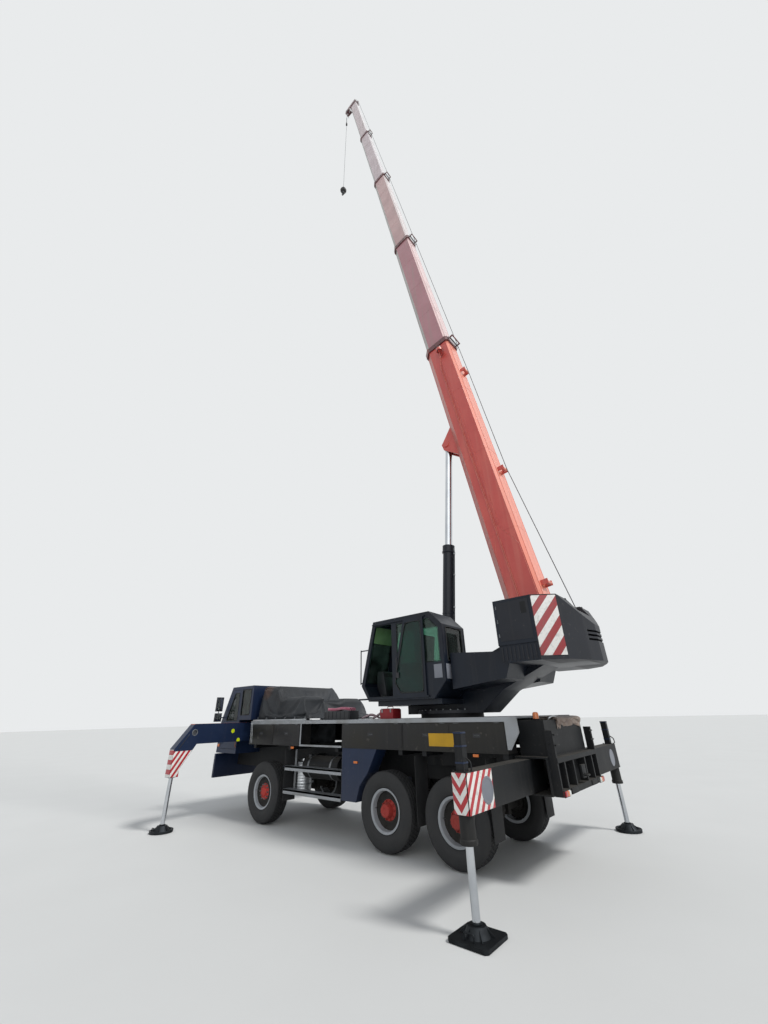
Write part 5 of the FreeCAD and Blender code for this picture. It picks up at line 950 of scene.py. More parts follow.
rearX = -4.451
for mirror in (1, -1):
    for low, high in ((0.765, 0.826), (0.834, 0.896), (0.904, 0.975)):
        block((rearX - 0.012, mirror * low, 1.060), (rearX, mirror * high, 1.120))
finished("tail_lamp_lenses", [tailLenses], "carrier", bevel=0.003)
for mirror in (1, -1):
    block((rearX + 0.004, mirror * 0.755, 1.048), (rearX + 0.02, mirror * 0.985, 1.132))
    block((rearX + 0.014, mirror * 0.36, 1.052), (rearX + 0.022, mirror * 0.64, 1.128))
    for z in (1.70, 1.84):
        tube([(-4.43, mirror * 0.955, z), (-4.43, mirror * 0.80, z)], 0.012)
    for z in (1.60, 1.72):
        pipe([(-4.30, mirror * 0.95, z), (-4.345, mirror * 0.95, z), (-4.345, mirror * 0.99, z)], 0.01, 0.008)
block((-4.46, -0.09, 1.20), (-4.425, 0.09, 1.38))
staple([(-4.46, -0.05, 1.24), (-4.46, 0.05, 1.24)], (-0.06, 0, 0), 0.02, 0.014, 10)
finished("rear_frame_fittings", [chassisBlack], "carrier", bevel=0.002)
pipe([(-4.20, 0.46, 2.04), (-4.24, 0.46, 2.085), (-4.24, 0.30, 2.09), (-4.24, 0.14, 2.06), (-4.20, 0.14, 2.045)], 0.04,
     0.016, 10)
finished("pale_tube", [aluminium], "carrier")
turned([(2.04, 0.06), (2.05, 0.065), (2.058, 0.058), (2.06, 0.052)], "z", (-4.12, 0.76, 0), 24)
turned([(2.055, 0.05), (2.13, 0.048), (2.155, 0.036), (2.162, 0.0)], "z", (-4.12, 0.76, 0), 24, 1)
finished("amber_beacon", [blackPlastic, amberLens], "carrier")
for mirror in (1, -1):
    for x, low in ((-3.36, 0.42), (-1.94, 0.46), (1.85, 0.50)):
        flap = ((0.86, low), (1.20, low), (1.21, 1.10), (1.21, 1.50), (0.85, 1.50), (0.85, 1.10))
        prism([(mirror * y, z) for y, z in flap], "x", x, x + 0.008)
finished("mudflaps", [tyreRubber], "carrier", bevel=0.002)
print("rear end dressed")


# Under the frame: leaf springs, propeller shafts, brake chambers, silencer

springs = {"y": 0.42, "half": 0.04, "thick": 0.013, "pitch": 0.016, "longest": 0.62, "shorter": 0.10, "rise": 0.10}
for axle, x in wheel["axles"].items():
    for mirror in (1, -1):
        for k in range(5):
            length = springs["longest"] - springs["shorter"] * k
            z = (0.80 if axle == "front" else 0.79) + springs["pitch"] * k
            leaf = [(x + length * t, mirror * springs["y"], z + springs["rise"] * t * t) for t in (-1, -0.66, -0.33, 0, 0.33, 0.66, 1)]
            for pair in zip(leaf, leaf[1:]):
                closed([(a, b + across, c + up) for a, b, c in pair for across in (-springs["half"], springs["half"])
                        for up in (0, springs["thick"])])
finished("leaf_springs", [chassisBlack], "carrier")
for low, high in (((-2.45, 0, 0.64), (-1.42, 0, 0.64)), ((-0.95, 0, 0.66), (1.75, 0, 1.10))):
    tube([low, high], 0.045, 16)
for x in wheel["axles"].values():
    for mirror in (1, -1):
        turned([(0.12, 0.02), (0.125, 0.075), (0.17, 0.085), (0.24, 0.085), (0.275, 0.06), (0.28, 0.0)], "x",
               (x, mirror * 0.62, 0.62), 20)
finished("shafts_and_chambers", [castIron], "carrier")
turned([(1.0, 0.0), (1.0, 0.13), (1.02, 0.15), (1.86, 0.15), (1.88, 0.13), (1.88, 0.0)], "x", (0, -0.80, 0.62), 28)
pipe([(0.98, -0.80, 0.62), (0.80, -0.80, 0.62), (0.70, -0.95, 0.60), (0.66, -1.12, 0.58)], 0.1, 0.045, 14)
finished("silencer", [zincSteel], "carrier")
print("underside fitted")


# Tail: striped corner plate, panels, ribs, lifting eyes, vent slots drawn as black strips of painted shade; the slewing
# ring's bolts and the frame's pins

for mirror in (1, -1):
    out = Vector((-0.625, mirror * 0.781, 0)) * 0.004
    closed([Vector((x, mirror * y, z)) + lift for x, y in ((-4.562, 1.194), (-4.892, 0.930)) for z in (2.96, 3.93)
            for lift in (Vector(), out)])
finished("tail_striped_plates", [tailStripes], "superstructure", bevel=0.001)
for mirror in (1, -1):
    block((-4.50, mirror * 1.2, 3.24), (-3.92, mirror * 1.204, 3.90))
    # a chassis-black patch near each door's top: painted shade standing in for a recess
    block((-4.46, mirror * 1.203, 3.66), (-4.36, mirror * 1.206, 3.86), 2)
    for x in (-4.50 + k * 0.072 for k in range(9)):
        block((x, mirror * 1.173, 2.93), (x + 0.028, mirror * 1.184, 3.15))
    for z in (3.34, 3.58, 3.82):
        turned([(z - 0.03, 0.010), (z + 0.03, 0.010)], "z", (-3.91, mirror * 1.205, 0), 10, 1)
finished("housing_doors", [tailEnamel, zincSteel, chassisBlack], "superstructure", bevel=0.0015)
# vent slots: thin chassis-black strips across the tail's rear face, painted shade where the openings are
for z in (3.24, 3.31, 3.38):
    for y in (-0.37 + k * 0.0435 for k in range(18)):
        block((-5.105, y - 0.003, z - 0.018), (-5.095, y + 0.003, z + 0.012))
for y in (-0.46, 0.46):
    for x in (-4.62, -4.86):
        staple([(x - 0.05, y, 3.930), (x + 0.05, y, 3.930)], (0, 0, 0.018), 0.01, 0.012)
finished("painted_shade_vent_slots_and_eyes", [chassisBlack], "superstructure")
for x, y in circle(30, 0.672):
    hexHead((x - 2.05, y, 2.2303), "z", 0.014, 0.018)
for side in (1, -1):
    for x, z, size in ((-3.85, 3.05, 0.045), (-4.81, 3.56, 0.032)):
        turned([(side * 0.370, size * 2.2), (side * 0.378, size * 2.2), (side * 0.380, size * 1.6)], "y", (x, 0, z), 28)
        hexHead((x, side * 0.378, z), "y", size, side * 0.014)
finished("table_bolts_and_pins", [zincSteel], "superstructure")
print("tail fitted")


# Operator's cab: rounded pillars, seals, wiper, blind, handles, rear panel, lamps

crane = {"outer": 1.24, "inner": 0.41, "roof": 4.01, "sill": 2.72, "front": -0.64, "brow": -0.98, "door": 1.273,
         "rear": -2.763, "slid": 0.82}


def screenAt(z, back=0.0):
    # the crane cab's windscreen, x at a height
    return crane["front"] - (z - crane["sill"]) * (crane["front"] - crane["brow"]) / (crane["roof"] - crane["sill"]) - back


for y in (crane["outer"] - 0.028, crane["inner"] + 0.028):
    pillar = ((-0.87, 2.435), (-0.655, 2.73), (-0.995, 3.985), (-2.47, 3.985), (-2.735, 3.72), (-2.735, 2.71), (-2.47, 2.44))
    tube(bent([(x, y, z) for x, z in pillar], 0.10, 6), 0.030, 12)
for x, z in ((-0.655, 2.75), (-0.985, 3.975), (-2.48, 3.975), (-2.735, 3.71)):
    tube([(x, crane["inner"] + 0.03, z), (x, crane["outer"] - 0.03, z)], 0.026, 12)
finished("cab_pillars", [blackEnamel], "superstructure")

screenRing = [(0.49, 2.79), (1.16, 2.79), (1.16, 3.91), (0.49, 3.91)]
seal([(screenAt(z) + 0.003, y, z) for y, z in screenRing], 0.04, 0.011)
for y in (crane["outer"] + 0.0005, crane["inner"] - 0.0005):
    quarter = ((-2.66, 3.06), (-1.64, 3.06), (-1.64, 3.87), (-2.45, 3.87), (-2.66, 3.66))
    seal([(x, y, z) for x, z in quarter], 0.05, 0.0045, 6)
seal([(crane["rear"], y, z) for y, z in ((0.54, 3.06), (1.11, 3.06), (1.11, 3.69), (0.54, 3.69))], 0.05, 0.010)
finished("cab_window_seals", [sealRubber], "superstructure")

# the door stands open, slid back behind its place
doorLine = ((-1.46, 2.54), (-0.91, 2.54), (-0.77, 2.73), (screenAt(3.86) - 0.13, 3.86), (-1.46, 3.86))
seal([(x - crane["slid"], crane["door"], z) for x, z in doorLine], 0.09, 0.009)
finished("sliding_door_seal", [sealRubber], "operator_sliding_door")
staple([(-1.66, 1.272, 2.95), (-1.66, 1.272, 3.20)], (0, 0.028, 0), 0.02, 0.010, 10)
block((-1.70, 1.268, 2.82), (-1.63, 1.284, 2.92))
finished("sliding_door_handle", [blackPlastic], "operator_sliding_door", bevel=0.003)

wiperArm = ((0.02, 1.10, 2.82), (0.05, 1.09, 2.90), (0.05, 0.99, 3.45), (0.02, 0.985, 3.50))
pipe([(screenAt(z) + off, y, z) for off, y, z in wiperArm], 0.03, 0.007)
for off, radius, count in ((0.018, 0.009, 8), (0.006, 0.005, 6)):
    tube([(screenAt(z) + off, y, z) for y, z in ((1.02, 3.15), (0.95, 3.85))], radius, count)
turned([(0, 0.03), (0.03, 0.028), (0.04, 0.015), (0.042, 0)], "x", (screenAt(2.82) - 0.01, 1.10, 2.82), 20)
finished("crane_wiper", [blackPlastic], "superstructure")

blind = {"back": 0.05, "y": (0.50, 1.15), "z": (3.58, 3.92), "steps": 12, "wave": 0.004, "waves": 19, "thick": 0.002}
low, high = ([Vector((screenAt(z, blind["back"]), y, z)) for y in blind["y"]] for z in blind["z"])
for k in range(blind["steps"]):
    strip = []
    for share in (k / blind["steps"], (k + 1) / blind["steps"]):
        wave = Vector((blind["wave"] * math.sin(share * blind["waves"]), 0, 0))
        strip += [bm.verts.new(edge[0].lerp(edge[1], share) + wave) for edge in (low, high)]
    bm.faces.new((strip[0], strip[2], strip[3], strip[1]))
bmesh.ops.remove_doubles(bm, verts=bm.verts, dist=0.0001)
bmesh.ops.solidify(bm, geom=list(bm.faces), thickness=blind["thick"])
finished("sun_blind", [blindFilm], "superstructure")
block((-2.768, 0.46, 2.74), (-2.760, 1.19, 3.00))
for y in (0.50, 0.82, 1.15):
    for z in (2.77, 2.97):
        hexHead((-2.768, y, z), "x", 0.008, -0.006)
block((-2.70, 1.2385, 2.76), (-2.52, 1.2425, 3.00))
finished("grey_rear_panel", [greyEnamel], "superstructure", bevel=0.002)
for y in (0.52, 1.13):
    block((-1.02, y - 0.05, 3.905), (-0.985, y + 0.05, 3.985))
    turned([(-0.985, 0.0375), (-0.972, 0.034), (-0.968, 0)], "x", (0, y, 3.945), 20, 1)
finished("cab_work_lamps", [blackPlastic, clearLens], "superstructure", bevel=0.004)
print("operator cab dressed")


# Operator's console, levers and the seat's bellows, in place of the plain seat and console of the source

def bellows(spot, half, pitch, high, slot=1):
    # six folds, every other one a little smaller
    for k in range(6):
        inset = 0.012 if k % 2 else 0
        wide, deep, z = half[0] - inset, half[1] - inset, spot[2] + k * pitch
        block((spot[0] - wide, spot[1] - deep, z), (spot[0] + wide, spot[1] + deep, z + high), slot)


prism([(-1.04, 2.458), (-0.896, 2.458), (-0.766, 2.72), (-0.78, 3.00), (-0.80, 3.02), (-0.935, 3.02), (-0.95, 3.00)],
      "y", 0.448, 0.883)
block((-0.965, 0.49, 2.86), (-0.945, 0.84, 2.99), 1)
prism([(-0.955, 2.875), (-0.949, 2.875), (-0.936, 2.985), (-0.942, 2.985)], "y", 0.51, 0.70, 2)
for k in range(5):
    for row in range(2):
        hexHead((-0.956, 0.725 + 0.022 * k, 2.90 + 0.045 * row), "x", 0.006, -0.010, 3)
block((-1.0, 0.50, 2.56), (-0.955, 0.84, 2.70), 1)
for low, high in ((0.62, 0.74), (0.90, 1.02)):
    prism([(-1.15, 2.462), (-0.98, 2.54), (-0.98, 2.552), (-1.15, 2.474)], "y", low, high, 1)
console = finished("crane_console", [blackPlastic, sealRubber, screenFace, zincSteel], "superstructure", bevel=0.006)
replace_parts(console, "operator_seat_and_console")
block((-2.03, 0.655, 2.458), (-1.67, 0.995, 2.50))
bellows((-1.85, 0.825, 2.51), (0.14, 0.125), 0.048, 0.044)
block((-2.07, 0.60, 2.80), (-1.64, 1.05, 2.832))
for y in (0.537, 1.112):
    block((-2.0, y - 0.04, 3.016), (-1.55, y + 0.04, 3.096))
    block((-1.95, y - 0.045, 2.83), (-1.85, y + 0.045, 3.02))
    turned([(3.096, 0.045), (3.12, 0.036), (3.13, 0.028), (3.15, 0.024), (3.165, 0.014), (3.20, 0.013)], "z",
           (-1.61, y, 0), 20, 1)
    turned([(3.19, 0.016), (3.21, 0.024), (3.25, 0.026), (3.275, 0.020), (3.285, 0)], "z", (-1.61, y, 0), 20)
finished("seat_base_and_levers", [blackPlastic, sealRubber], "superstructure", bevel=0.005)
print("levers made")


# Stuffed seats: a block remeshed, blown up by cloth pressure with every point's way capped, then smoothed

pad = {"cushion": (0.44, 0.48, 0.115), "rest": (0.105, 0.48, 0.72), "voxel": 0.016, "cap": 0.016, "inset": 0.010,
       "round": 0.02, "channel": 0.11, "share": 0.35, "furrow": 0.007, "frames": 16, "tilt": -0.11,
       "restAt": Vector((-0.255, 0, 0.405))}


def applied(piece, *modifiers):
    # the piece's mesh as these modifiers leave it
    for kind, settings in modifiers:
        modifier = piece.modifiers.new(kind, kind)
        for key, value in settings.items():
            setattr(modifier, key, value)
    mesh = bpy.data.meshes.new_from_object(piece.evaluated_get(bpy.context.evaluated_depsgraph_get()))
    piece.modifiers.clear()
    piece.data = mesh
    return mesh


def settled(piece, settings, frames, groupName=None):
    # runs the cloth; gives each point's spot before and after
    before = [vertex.co.copy() for vertex in piece.data.vertices]
    cloth = piece.modifiers.new("cloth", "CLOTH")
    for key, value in settings.items():
        setattr(cloth.settings, key, value)
    if groupName:
        cloth.settings.vertex_group_mass = groupName
    cloth.point_cache.frame_end = frames
    for step in range(1, frames + 1):
        scene.frame_set(step)
    shape = piece.evaluated_get(bpy.context.evaluated_depsgraph_get())
    after = [vertex.co.copy() for vertex in shape.data.vertices]
    piece.modifiers.remove(cloth)
    scene.frame_set(1)
    return zip(piece.data.vertices, before, after)


def stuffed(name, size):
    block([-s / 2 + pad["inset"] for s in size], [s / 2 - pad["inset"] for s in size])
    bmesh.ops.bevel(bm, geom=list(bm.edges), offset=pad["round"], segments=3, affect="EDGES")
    piece = shaped(name)
    applied(piece, ("REMESH", {"mode": "VOXEL", "voxel_size": pad["voxel"]}))
    puffed = {"use_pressure": True, "uniform_pressure_force": 4, "quality": 5}
    for vertex, old, new in settled(piece, puffed, pad["frames"]):
        move = new - old
        if move.length > pad["cap"]:
            move = move.normalized() * pad["cap"]
        vertex.co = old + move
    # the sewn channels: furrows pressed in across the pad's face
    thin = min(range(3), key=lambda i: size[i])
    long = 0 if thin == 2 else 2
    for vertex in piece.data.vertices:
        channel = abs(math.sin(math.pi * vertex.co[long] / pad["channel"]))
        depth = max(0, 1 - channel / pad["share"]) * pad["furrow"]
        edge = max(0, 1 - (abs(vertex.co[1]) / (size[1] / 2)) ** 6)
        vertex.co[thin] -= math.copysign(depth * edge, vertex.co[thin])
    final = applied(piece, ("SUBSURF", {"levels": 1}))
    bpy.data.objects.remove(piece)
    return final


scene.gravity = (0, 0, 0)
scene.use_gravity = False
padMeshes = {part: stuffed(part + "_form", pad[part]) for part in ("cushion", "rest")}
print("seats stuffed")
for who, body, spot, node in (("driver", "carrier", (4.37, 0.56, 1.832), "driver_seats_and_dash"),
                              ("passenger", "carrier", (4.37, -0.56, 1.832), "driver_seats_and_dash"),
                              ("operator", "superstructure", (-1.85, 0.825, 2.892), "operator_seat_and_console")):
    spot = Vector(spot)
    for part, place, tilt in (("cushion", spot, 0.0), ("rest", spot + pad["restAt"], pad["tilt"])):
        mesh = padMeshes[part].copy()
        mesh.transform(Matrix.Translation(place) @ Matrix.Rotation(tilt, 4, "Y"))
        mesh.shade_smooth()
        mesh.materials.append(seatCloth)
        piece = linked("%s_seat_%s" % (who, part), mesh)
        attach(piece, body)
        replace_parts(piece, node)
    seal([spot + Vector((a, b, 0.048)) for a, b in ((-0.20, -0.225), (0.20, -0.225), (0.20, 0.225), (-0.20, 0.225))],
         0.05, 0.005, 6)
    finished(who + "_seat_piping", [sealRubber], body)
print("seats placed")


# Driver's cab: dash, wheel, seat bases

prism([(4.63, 1.97), (4.63, 1.90), (4.70, 1.80), (4.90, 1.68), (4.925, 1.70), (4.90, 2.02), (4.72, 2.065), (4.66, 2.03)],
      "y", -1.165, 1.165)
prism([(4.60, 1.955), (4.645, 2.06), (4.70, 2.068), (4.72, 2.04), (4.63, 1.93)], "y", 0.36, 0.76)
prism([(4.607, 1.975), (4.645, 2.055), (4.641, 2.058), (4.602, 1.978)], "y", 0.40, 0.72, 1)
for y in (0.47, 0.56, 0.65):
    turned([(0, 0.036), (-0.006, 0.036), (-0.006, 0.030), (0, 0.028)], "x", (4.618, y, 2.012), 24, 2)
for y in (0.10 + 0.035 * k for k in range(6)):
    block((4.618, y, 1.93), (4.632, y + 0.025, 1.96), 2)
for y in (-0.9, -0.3, 0.98):
    for k in range(4):
        block((4.67, y - 0.06, 2.035 + 0.0005 * k), (4.675 + 0.008 * k, y + 0.06, 2.040 + 0.006 * k), 2)
dash = finished("driver_dash", [blackPlastic, screenFace, sealRubber], "carrier", bevel=0.006)
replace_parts(dash, "driver_seats_and_dash")
steering = {"at": (4.57, 0.56, 2.065), "tilt": 35, "radius": 0.215, "rim": 0.015, "spokes": (90, 210, 330)}
tube([(a, b, 0) for a, b in ring(40, steering["radius"])], steering["rim"], 10)
for a, b in ((math.cos(angle), math.sin(angle)) for angle in map(math.radians, steering["spokes"])):
    tube([(0.04 * a, 0.04 * b, -0.02), (0.205 * a, 0.205 * b, 0)], 0.011)
turned([(-0.10, 0.030), (-0.03, 0.036), (-0.02, 0.055), (0.0, 0.052), (0.008, 0.035), (0.010, 0)], "z", (0, 0, 0), 28)
finished("steering_wheel", [blackPlastic], "carrier",
         matrix=Matrix.Translation(steering["at"]) @ Matrix.Rotation(-math.radians(steering["tilt"]), 4, "Y"))
for y in (-0.56, 0.56):
    block((4.17, y - 0.18, 1.392), (4.57, y + 0.18, 1.44))
    bellows((4.37, y, 1.45), (0.17, 0.15), 0.052, 0.048)
    block((4.15, y - 0.22, 1.758), (4.59, y + 0.22, 1.775))
finished("driver_seat_bases", [blackPlastic, sealRubber], "carrier", bevel=0.004)
print("driver cab furnished")


# Driver's cab outside: seals, handles, wipers, mirror glass, grille, headlamp rims, blank number plate

cab = {"nose": 4.94, "brow": 4.52, "waist": 2.09, "roof": 2.98, "pane": 1.2305, "rear": 3.446}


def noseAt(z):
    return cab["nose"] - (z - cab["waist"]) * (cab["nose"] - cab["brow"]) / (cab["roof"] - cab["waist"])


seal([(noseAt(z) + 0.004, y, z) for y, z in ((-1.11, 2.19), (1.11, 2.19), (1.11, 2.87), (-1.11, 2.87))], 0.08, 0.013)
seal([(cab["rear"], y, z) for y, z in ((-0.79, 2.30), (0.79, 2.30), (0.79, 2.79), (-0.79, 2.79))], 0.06, 0.010)
for mirror in (1, -1):
    pane = ((3.55, 2.26), (3.98, 2.26), (3.98, 2.89), (3.55, 2.89))
    seal([(x, mirror * cab["pane"], z) for x, z in pane], 0.06, 0.008)
finished("cab_glass_seals", [sealRubber], "carrier")
for side, mirror in flanks:
    pane = ((4.12, 2.13), (4.675, 2.13), (4.352, 2.82), (4.12, 2.82))
    seal([(x, mirror * cab["pane"], z) for x, z in pane], 0.05, 0.008)
    finished("door_seal_" + side, [sealRubber], "driver_door_" + side)
    block((4.11, mirror * 1.229, 1.98), (4.28, mirror * 1.236, 2.045))
    grip = ((4.13, 1.232), (4.14, 1.256), (4.25, 1.256), (4.26, 1.232))
    pipe([(x, mirror * y, 2.01) for x, y in grip], 0.012, 0.009)
    block((4.08, mirror * 1.185, 1.56), (4.74, mirror * 1.19, 2.02))
    finished("door_handle_" + side, [blackPlastic], "driver_door_" + side, bevel=0.003)
for y in (-0.75, 0.05, 0.70):
    arm = ((0.01, 0, 2.16), (0.05, 0, 2.20), (0.045, 0.20, 2.55))
    pipe([(noseAt(z) + off, y + a, z) for off, a, z in arm], 0.03, 0.008)
    tube([(noseAt(z) + 0.022, y + a, z) for a, z in ((0.02, 2.24), (0.33, 2.80))], 0.010)
    turned([(0, 0.026), (0.02, 0.024), (0.03, 0.012), (0.032, 0)], "x", (noseAt(2.16) - 0.002, y, 2.16), 16)
finished("driver_wipers", [blackPlastic], "carrier")
for y in (1.415, -1.415):
    for low, high in ((2.115, 2.315), (2.375, 2.725)):
        block((4.802, y - 0.10, low - 0.007), (4.850, y + 0.10, high + 0.007))
        block((4.7975, y - 0.086, low + 0.012), (4.8015, y + 0.086, high - 0.012), 1)
finished("mirror_glasses", [blackPlastic, silvered], "carrier", bevel=0.010)
for z in (1.46 + k * 0.055 for k in range(9)):
    depth = 4.98 - (z - 1.35) * 0.04 / 0.74
    slat = ((-0.004, 0), (0.014, 0.006), (0.014, 0.020), (-0.004, 0.034))
    prism([(depth + a, z + b) for a, b in slat], "y", -0.80, 0.80)
for y in (-0.82, 0.80):
    block((4.955, y, 1.44), (4.985, y + 0.02, 1.96))
finished("front_grille", [blackPlastic], "carrier", bevel=0.002)
for mirror in (1, -1):
    for y in (0.86, 0.66):
        turned([(5.088, 0.108), (5.098, 0.104), (5.106, 0.086), (5.104, 0.080)], "x", (0, mirror * y, 1.09))
    block((5.062, mirror * 0.985, 1.03), (5.072, mirror * 1.15, 1.15), 1)
    for y in (-0.5, 0.5):
        block((5.088, y - 0.07, 0.80), (5.096, y + 0.07, 0.86))
block((5.0905, -0.26, 1.16), (5.0955, 0.26, 1.27), 2)
for y in (-1.15, -0.25, 0.65):
    block((5.0, y, 1.318), (5.06, y + 0.50, 1.322))
finished("bumper_fittings", [blackPlastic, amberLens, greyEnamel], "carrier", bevel=0.003)
for mirror in (1, -1):
    for x in (3.62, 4.02, 4.40):
        turned([(2.976, 0.032), (2.986, 0.030), (2.990, 0.02), (2.991, 0)], "z", (x, mirror * 1.12, 0), 16)
    rail = ((1.225, 1.50), (1.262, 1.52), (1.262, 2.03), (1.225, 2.05))
    pipe([(4.0, mirror * y, z) for y, z in rail], 0.02, 0.011, slot=1)
    block((4.84, mirror * 1.229, 1.50), (4.93, mirror * 1.245, 1.56))
finished("cab_markers_and_rails", [amberLens, blackPlastic], "carrier", bevel=0.002)
# bright rail along the cover's foot, thin bright lines over the box
for mirror in (1, -1):
    block((1.24, mirror * 1.165 - 0.012, 2.101), (3.41, mirror * 1.165 + 0.012, 2.135))
    for x in (3.33, 3.385):
        tube([(x, mirror * 1.231, 2.06), (x - 0.06, mirror * 1.231, 1.61)], 0.005, 6)
finished("bright_rails", [aluminium], "carrier", bevel=0.002)
print("driver cab dressed")


# Cover behind the cab: tarpaulin draped over what is stowed under it, its hem lashed down to the deck

cover = {"outline": [(1.225, 2.104), (1.45, 2.50), (1.56, 2.61), (1.75, 2.66), (2.20, 2.68), (2.50, 2.86),
                     (2.80, 2.965), (3.28, 2.965), (3.375, 2.905), (3.375, 2.104)],
         "half": 1.075, "trough": (0.25, 2.37, 2.50), "voxel": 0.045, "frames": 46, "cells": (64, 60), "foot": 2.08,
         "cut": 2.105, "lash": 0.42, "low": (1.19, -1.105, 2.103), "high": (3.40, 1.105, 2.99), "thick": 0.003,
         "flat": (3.6, 3.9),
         "loads": [((2.62, -0.98, 2.101), (3.31, 0.98, 2.89)), ((1.56, 0.36, 2.101), (2.24, 1.00, 2.60)),
                   ((1.56, -1.00, 2.101), (2.24, -0.36, 2.57)), ((1.30, -0.30, 2.101), (2.40, 0.30, 2.24))]}


def coverTop(x, y):
    points = cover["outline"]
    height = points[0][1]
    for (x0, z0), (x1, z1) in zip(points, points[1:-1]):
        if x0 <= x <= x1:
            height = z0 + (z1 - z0) * (x - x0) / (x1 - x0)
    half, end, floor = cover["trough"]
    if x < end:
        wall = min(1, max(0, (half + 0.10 - abs(y)) / 0.10)) * min(1, (end - x) / 0.06)
        height -= max(0, height - floor) * wall
    return height


columns, rows = cover["cells"]
rear, front = cover["outline"][0][0] + 0.002, cover["outline"][-1][0] - 0.002
grid = []
for x in (rear + (front - rear) * i / columns for i in range(columns + 1)):
    line = [-cover["half"] + 2 * cover["half"] * j / rows for j in range(rows + 1)]
    grid.append([(bm.verts.new((x, y, coverTop(x, y))), bm.verts.new((x, y, cover["foot"]))) for y in line])
for i in range(columns):
    for j in range(rows):
        for level, step in ((0, 1), (1, -1)):
            quad = [grid[a][b][level] for a, b in ((i, j), (i + 1, j), (i + 1, j + 1), (i, j + 1))]
            bm.faces.new(quad[::step])
ends = [((i, j), (i + 1, j)) for i in range(columns) for j in (0, rows)]
ends += [((i, j), (i, j + 1)) for j in range(rows) for i in (0, columns)]
for (a, b), (c, d) in ends:
    bm.faces.new((grid[a][b][0], grid[c][d][0], grid[c][d][1], grid[a][b][1]))
bmesh.ops.recalc_face_normals(bm, faces=bm.faces)
tarp = shaped("tarpaulin_cover")
even = applied(tarp, ("REMESH", {"mode": "VOXEL", "voxel_size": cover["voxel"]}))
bm.from_mesh(even)
bmesh.ops.delete(bm, geom=[v for v in bm.verts if v.co.z < cover["cut"]], context="VERTS")
bm.to_mesh(even)
bm.clear()
hem = tarp.vertex_groups.new(name="hem")
lowest = min(v.co.z for v in even.vertices)
for v in even.vertices:
    lash = abs((v.co.x if abs(v.co.y) > 1.0 else v.co.y) % cover["lash"]) < 0.06
    if v.co.z < lowest + (0.09 if lash else 0.02):
        hem.add([v.index], 1.0, "REPLACE")
for low, high in cover["loads"]:
    block(low, high)
bmesh.ops.bevel(bm, geom=list(bm.edges), offset=0.05, segments=3, affect="EDGES")
load = shaped("stowed")
load.modifiers.new("hit", "COLLISION")
load.collision.thickness_outer = 0.02
load.collision.cloth_friction = 12
scene.use_gravity = True
scene.gravity = (0, 0, -9.81)
heavy = {"quality": 6, "mass": 0.5, "tension_stiffness": 12, "compression_stiffness": 6, "shear_stiffness": 4,
         "bending_stiffness": 0.25, "shrink_min": -0.045, "shrink_max": -0.045}
for v, old, new in settled(tarp, heavy, cover["frames"], "hem"):
    v.co = [min(most, max(least, value)) for least, value, most in zip(cover["low"], new, cover["high"])]
bpy.data.objects.remove(load)
scene.gravity = (0, 0, 0)


def sheeted(piece, material, flat, levels, thickness, **how):
    final = applied(piece, ("SUBSURF", {"levels": levels}), ("SOLIDIFY", {"thickness": thickness}))
    final.shade_smooth()
    final.materials.clear()
    final.materials.append(material)
    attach(piece, "carrier")


sheeted(tarp, tarpaulin, cover["flat"], 1, cover["thick"], held="draped", rests_on=["deck"])
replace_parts(tarp, "soft_cover")
for mirror in (1, -1):
    for x in (1.36 + k * 0.39 for k in range(6)):
        hooked = ((-0.02, 1.10, 2.16), (0, 1.135, 2.13), (0.02, 1.16, 2.11))
        pipe([(x + a, mirror * y, z) for a, y, z in hooked], 0.01, 0.005, 6)
        turned([(0, 0.012), (mirror * 0.004, 0.020), (mirror * 0.006, 0.012)], "y", (x - 0.02, mirror * 1.105, 2.165), 14)
finished("cover_lashings", [zincSteel], "carrier")

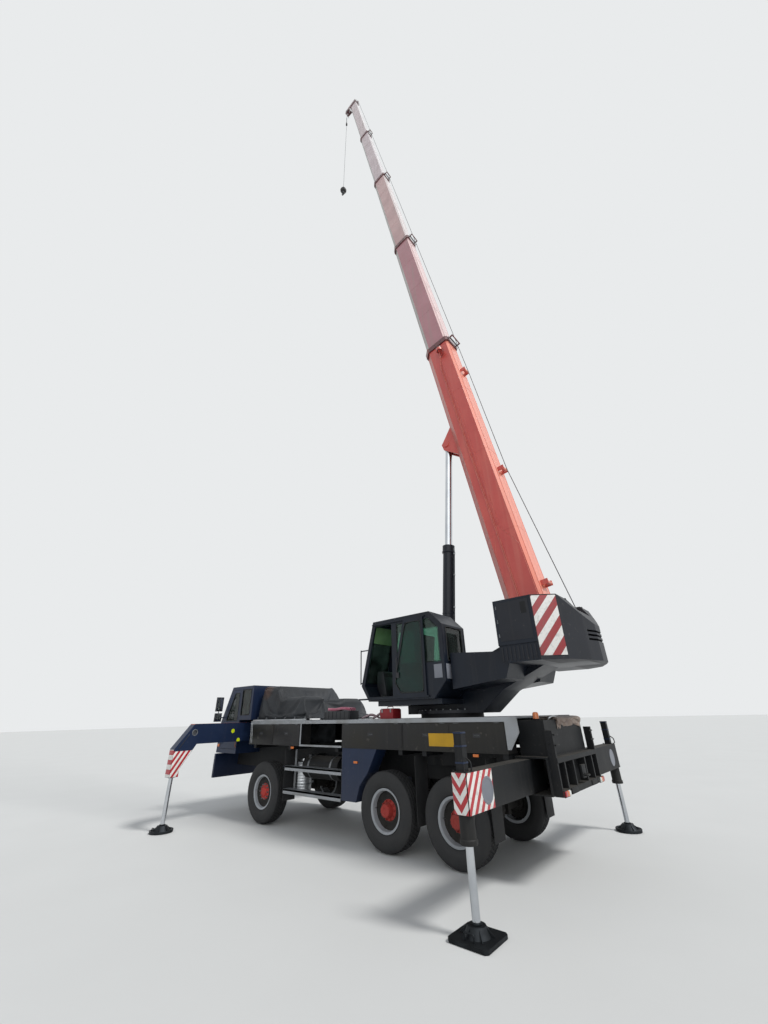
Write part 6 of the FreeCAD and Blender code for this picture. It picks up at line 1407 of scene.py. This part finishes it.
# folded canvas over the rear chest: a short stack of folds with an uneven hanging edge
fold = {"x": (-4.24, -3.92), "y": (-0.86, 0.34), "top": 2.045, "hang": 0.16, "layers": 4, "cells": 40, "pitch": 0.013,
        "thick": 0.004, "flat": (2.0, 1.25)}
for layer in range(fold["layers"]):
    made = []
    for j in range(fold["cells"] + 1):
        y = fold["y"][0] + (fold["y"][1] - fold["y"][0]) * j / fold["cells"]
        wobble = 0.012 * math.sin(y * 11 + layer * 1.9) + 0.008 * math.sin(y * 27 + layer)
        top = fold["top"] + 0.006 + layer * fold["pitch"]
        hang = fold["hang"] * (0.75 + 0.22 * math.sin(y * 5 + layer * 2.3)) * (1 - 0.12 * layer)
        outer = fold["x"][0] - 0.040 - 0.008 * layer
        line = ((fold["x"][1] + wobble, top), (fold["x"][0] + 0.15, top + wobble * 0.5), (fold["x"][0] - 0.01, top - 0.002),
                (outer, top - 0.03), (outer - 0.004 + wobble * 0.6, top - hang * 0.6), (outer + wobble, top - hang))
        made.append([bm.verts.new((x, y, z)) for x, z in line])
    for first, second in zip(made, made[1:]):
        for k in range(len(line) - 1):
            bm.faces.new((first[k], first[k + 1], second[k + 1], second[k]))
bmesh.ops.recalc_face_normals(bm, faces=bm.faces)
sheeted(shaped("folded_canvas"), canvas, fold["flat"], 2, fold["thick"], held="folded", rests_on=["chassis_frame"])
print("soft goods made")


# Floor, background and lights

stage = {"floor": "#c9c9c6", "cloud": "#cfcfcc", "sky": "#e9ebec", "light": "#dfe6f0", "strength": 0.55}
bpy.ops.mesh.primitive_plane_add(size=400, location=(0, 0, -0.004))
floor = bpy.context.object
floor.name = "floor"
m = Surface("studio floor", {"Roughness": 0.7})
floor.data.materials.append(m.done({"Base Color": m.mix(m.noise(perMetre(0.6), 4), stage["floor"], stage["cloud"])}))

world = bpy.data.worlds.new("studio")
scene.world = world
world.use_nodes = True
sky = world.node_tree
skyLight = sky.nodes["Background"]
connect(sky, skyLight, {"Color": stage["light"], "Strength": stage["strength"]})
seen = addNode(sky, "Background", {"Color": stage["sky"], "Strength": 1.0})
rays = addNode(sky, "LightPath").outputs
seenBy = rays["Is Camera Ray"]
for other in ("Is Glossy Ray", "Is Transmission Ray"):
    seenBy = addNode(sky, "Math", {0: seenBy, 1: rays[other]}, operation="MAXIMUM").outputs[0]
which = addNode(sky, "MixShader", {0: seenBy, 1: skyLight.outputs[0], 2: seen.outputs[0]}).outputs[0]
connect(sky, sky.nodes["World Output"], {"Surface": which})

for name, direction, strength, spread in (("key", (-0.62, -0.10, 0.78), 2.4, 12), ("fill", (-0.5, 0.8, 0.35), 0.8, 60)):
    sun = linked(name, bpy.data.lights.new(name, "SUN"))
    sun.data.energy = strength
    sun.data.angle = math.radians(spread)
    sun.rotation_euler = Vector(direction).to_track_quat("Z", "Y").to_euler()
print("stage made")
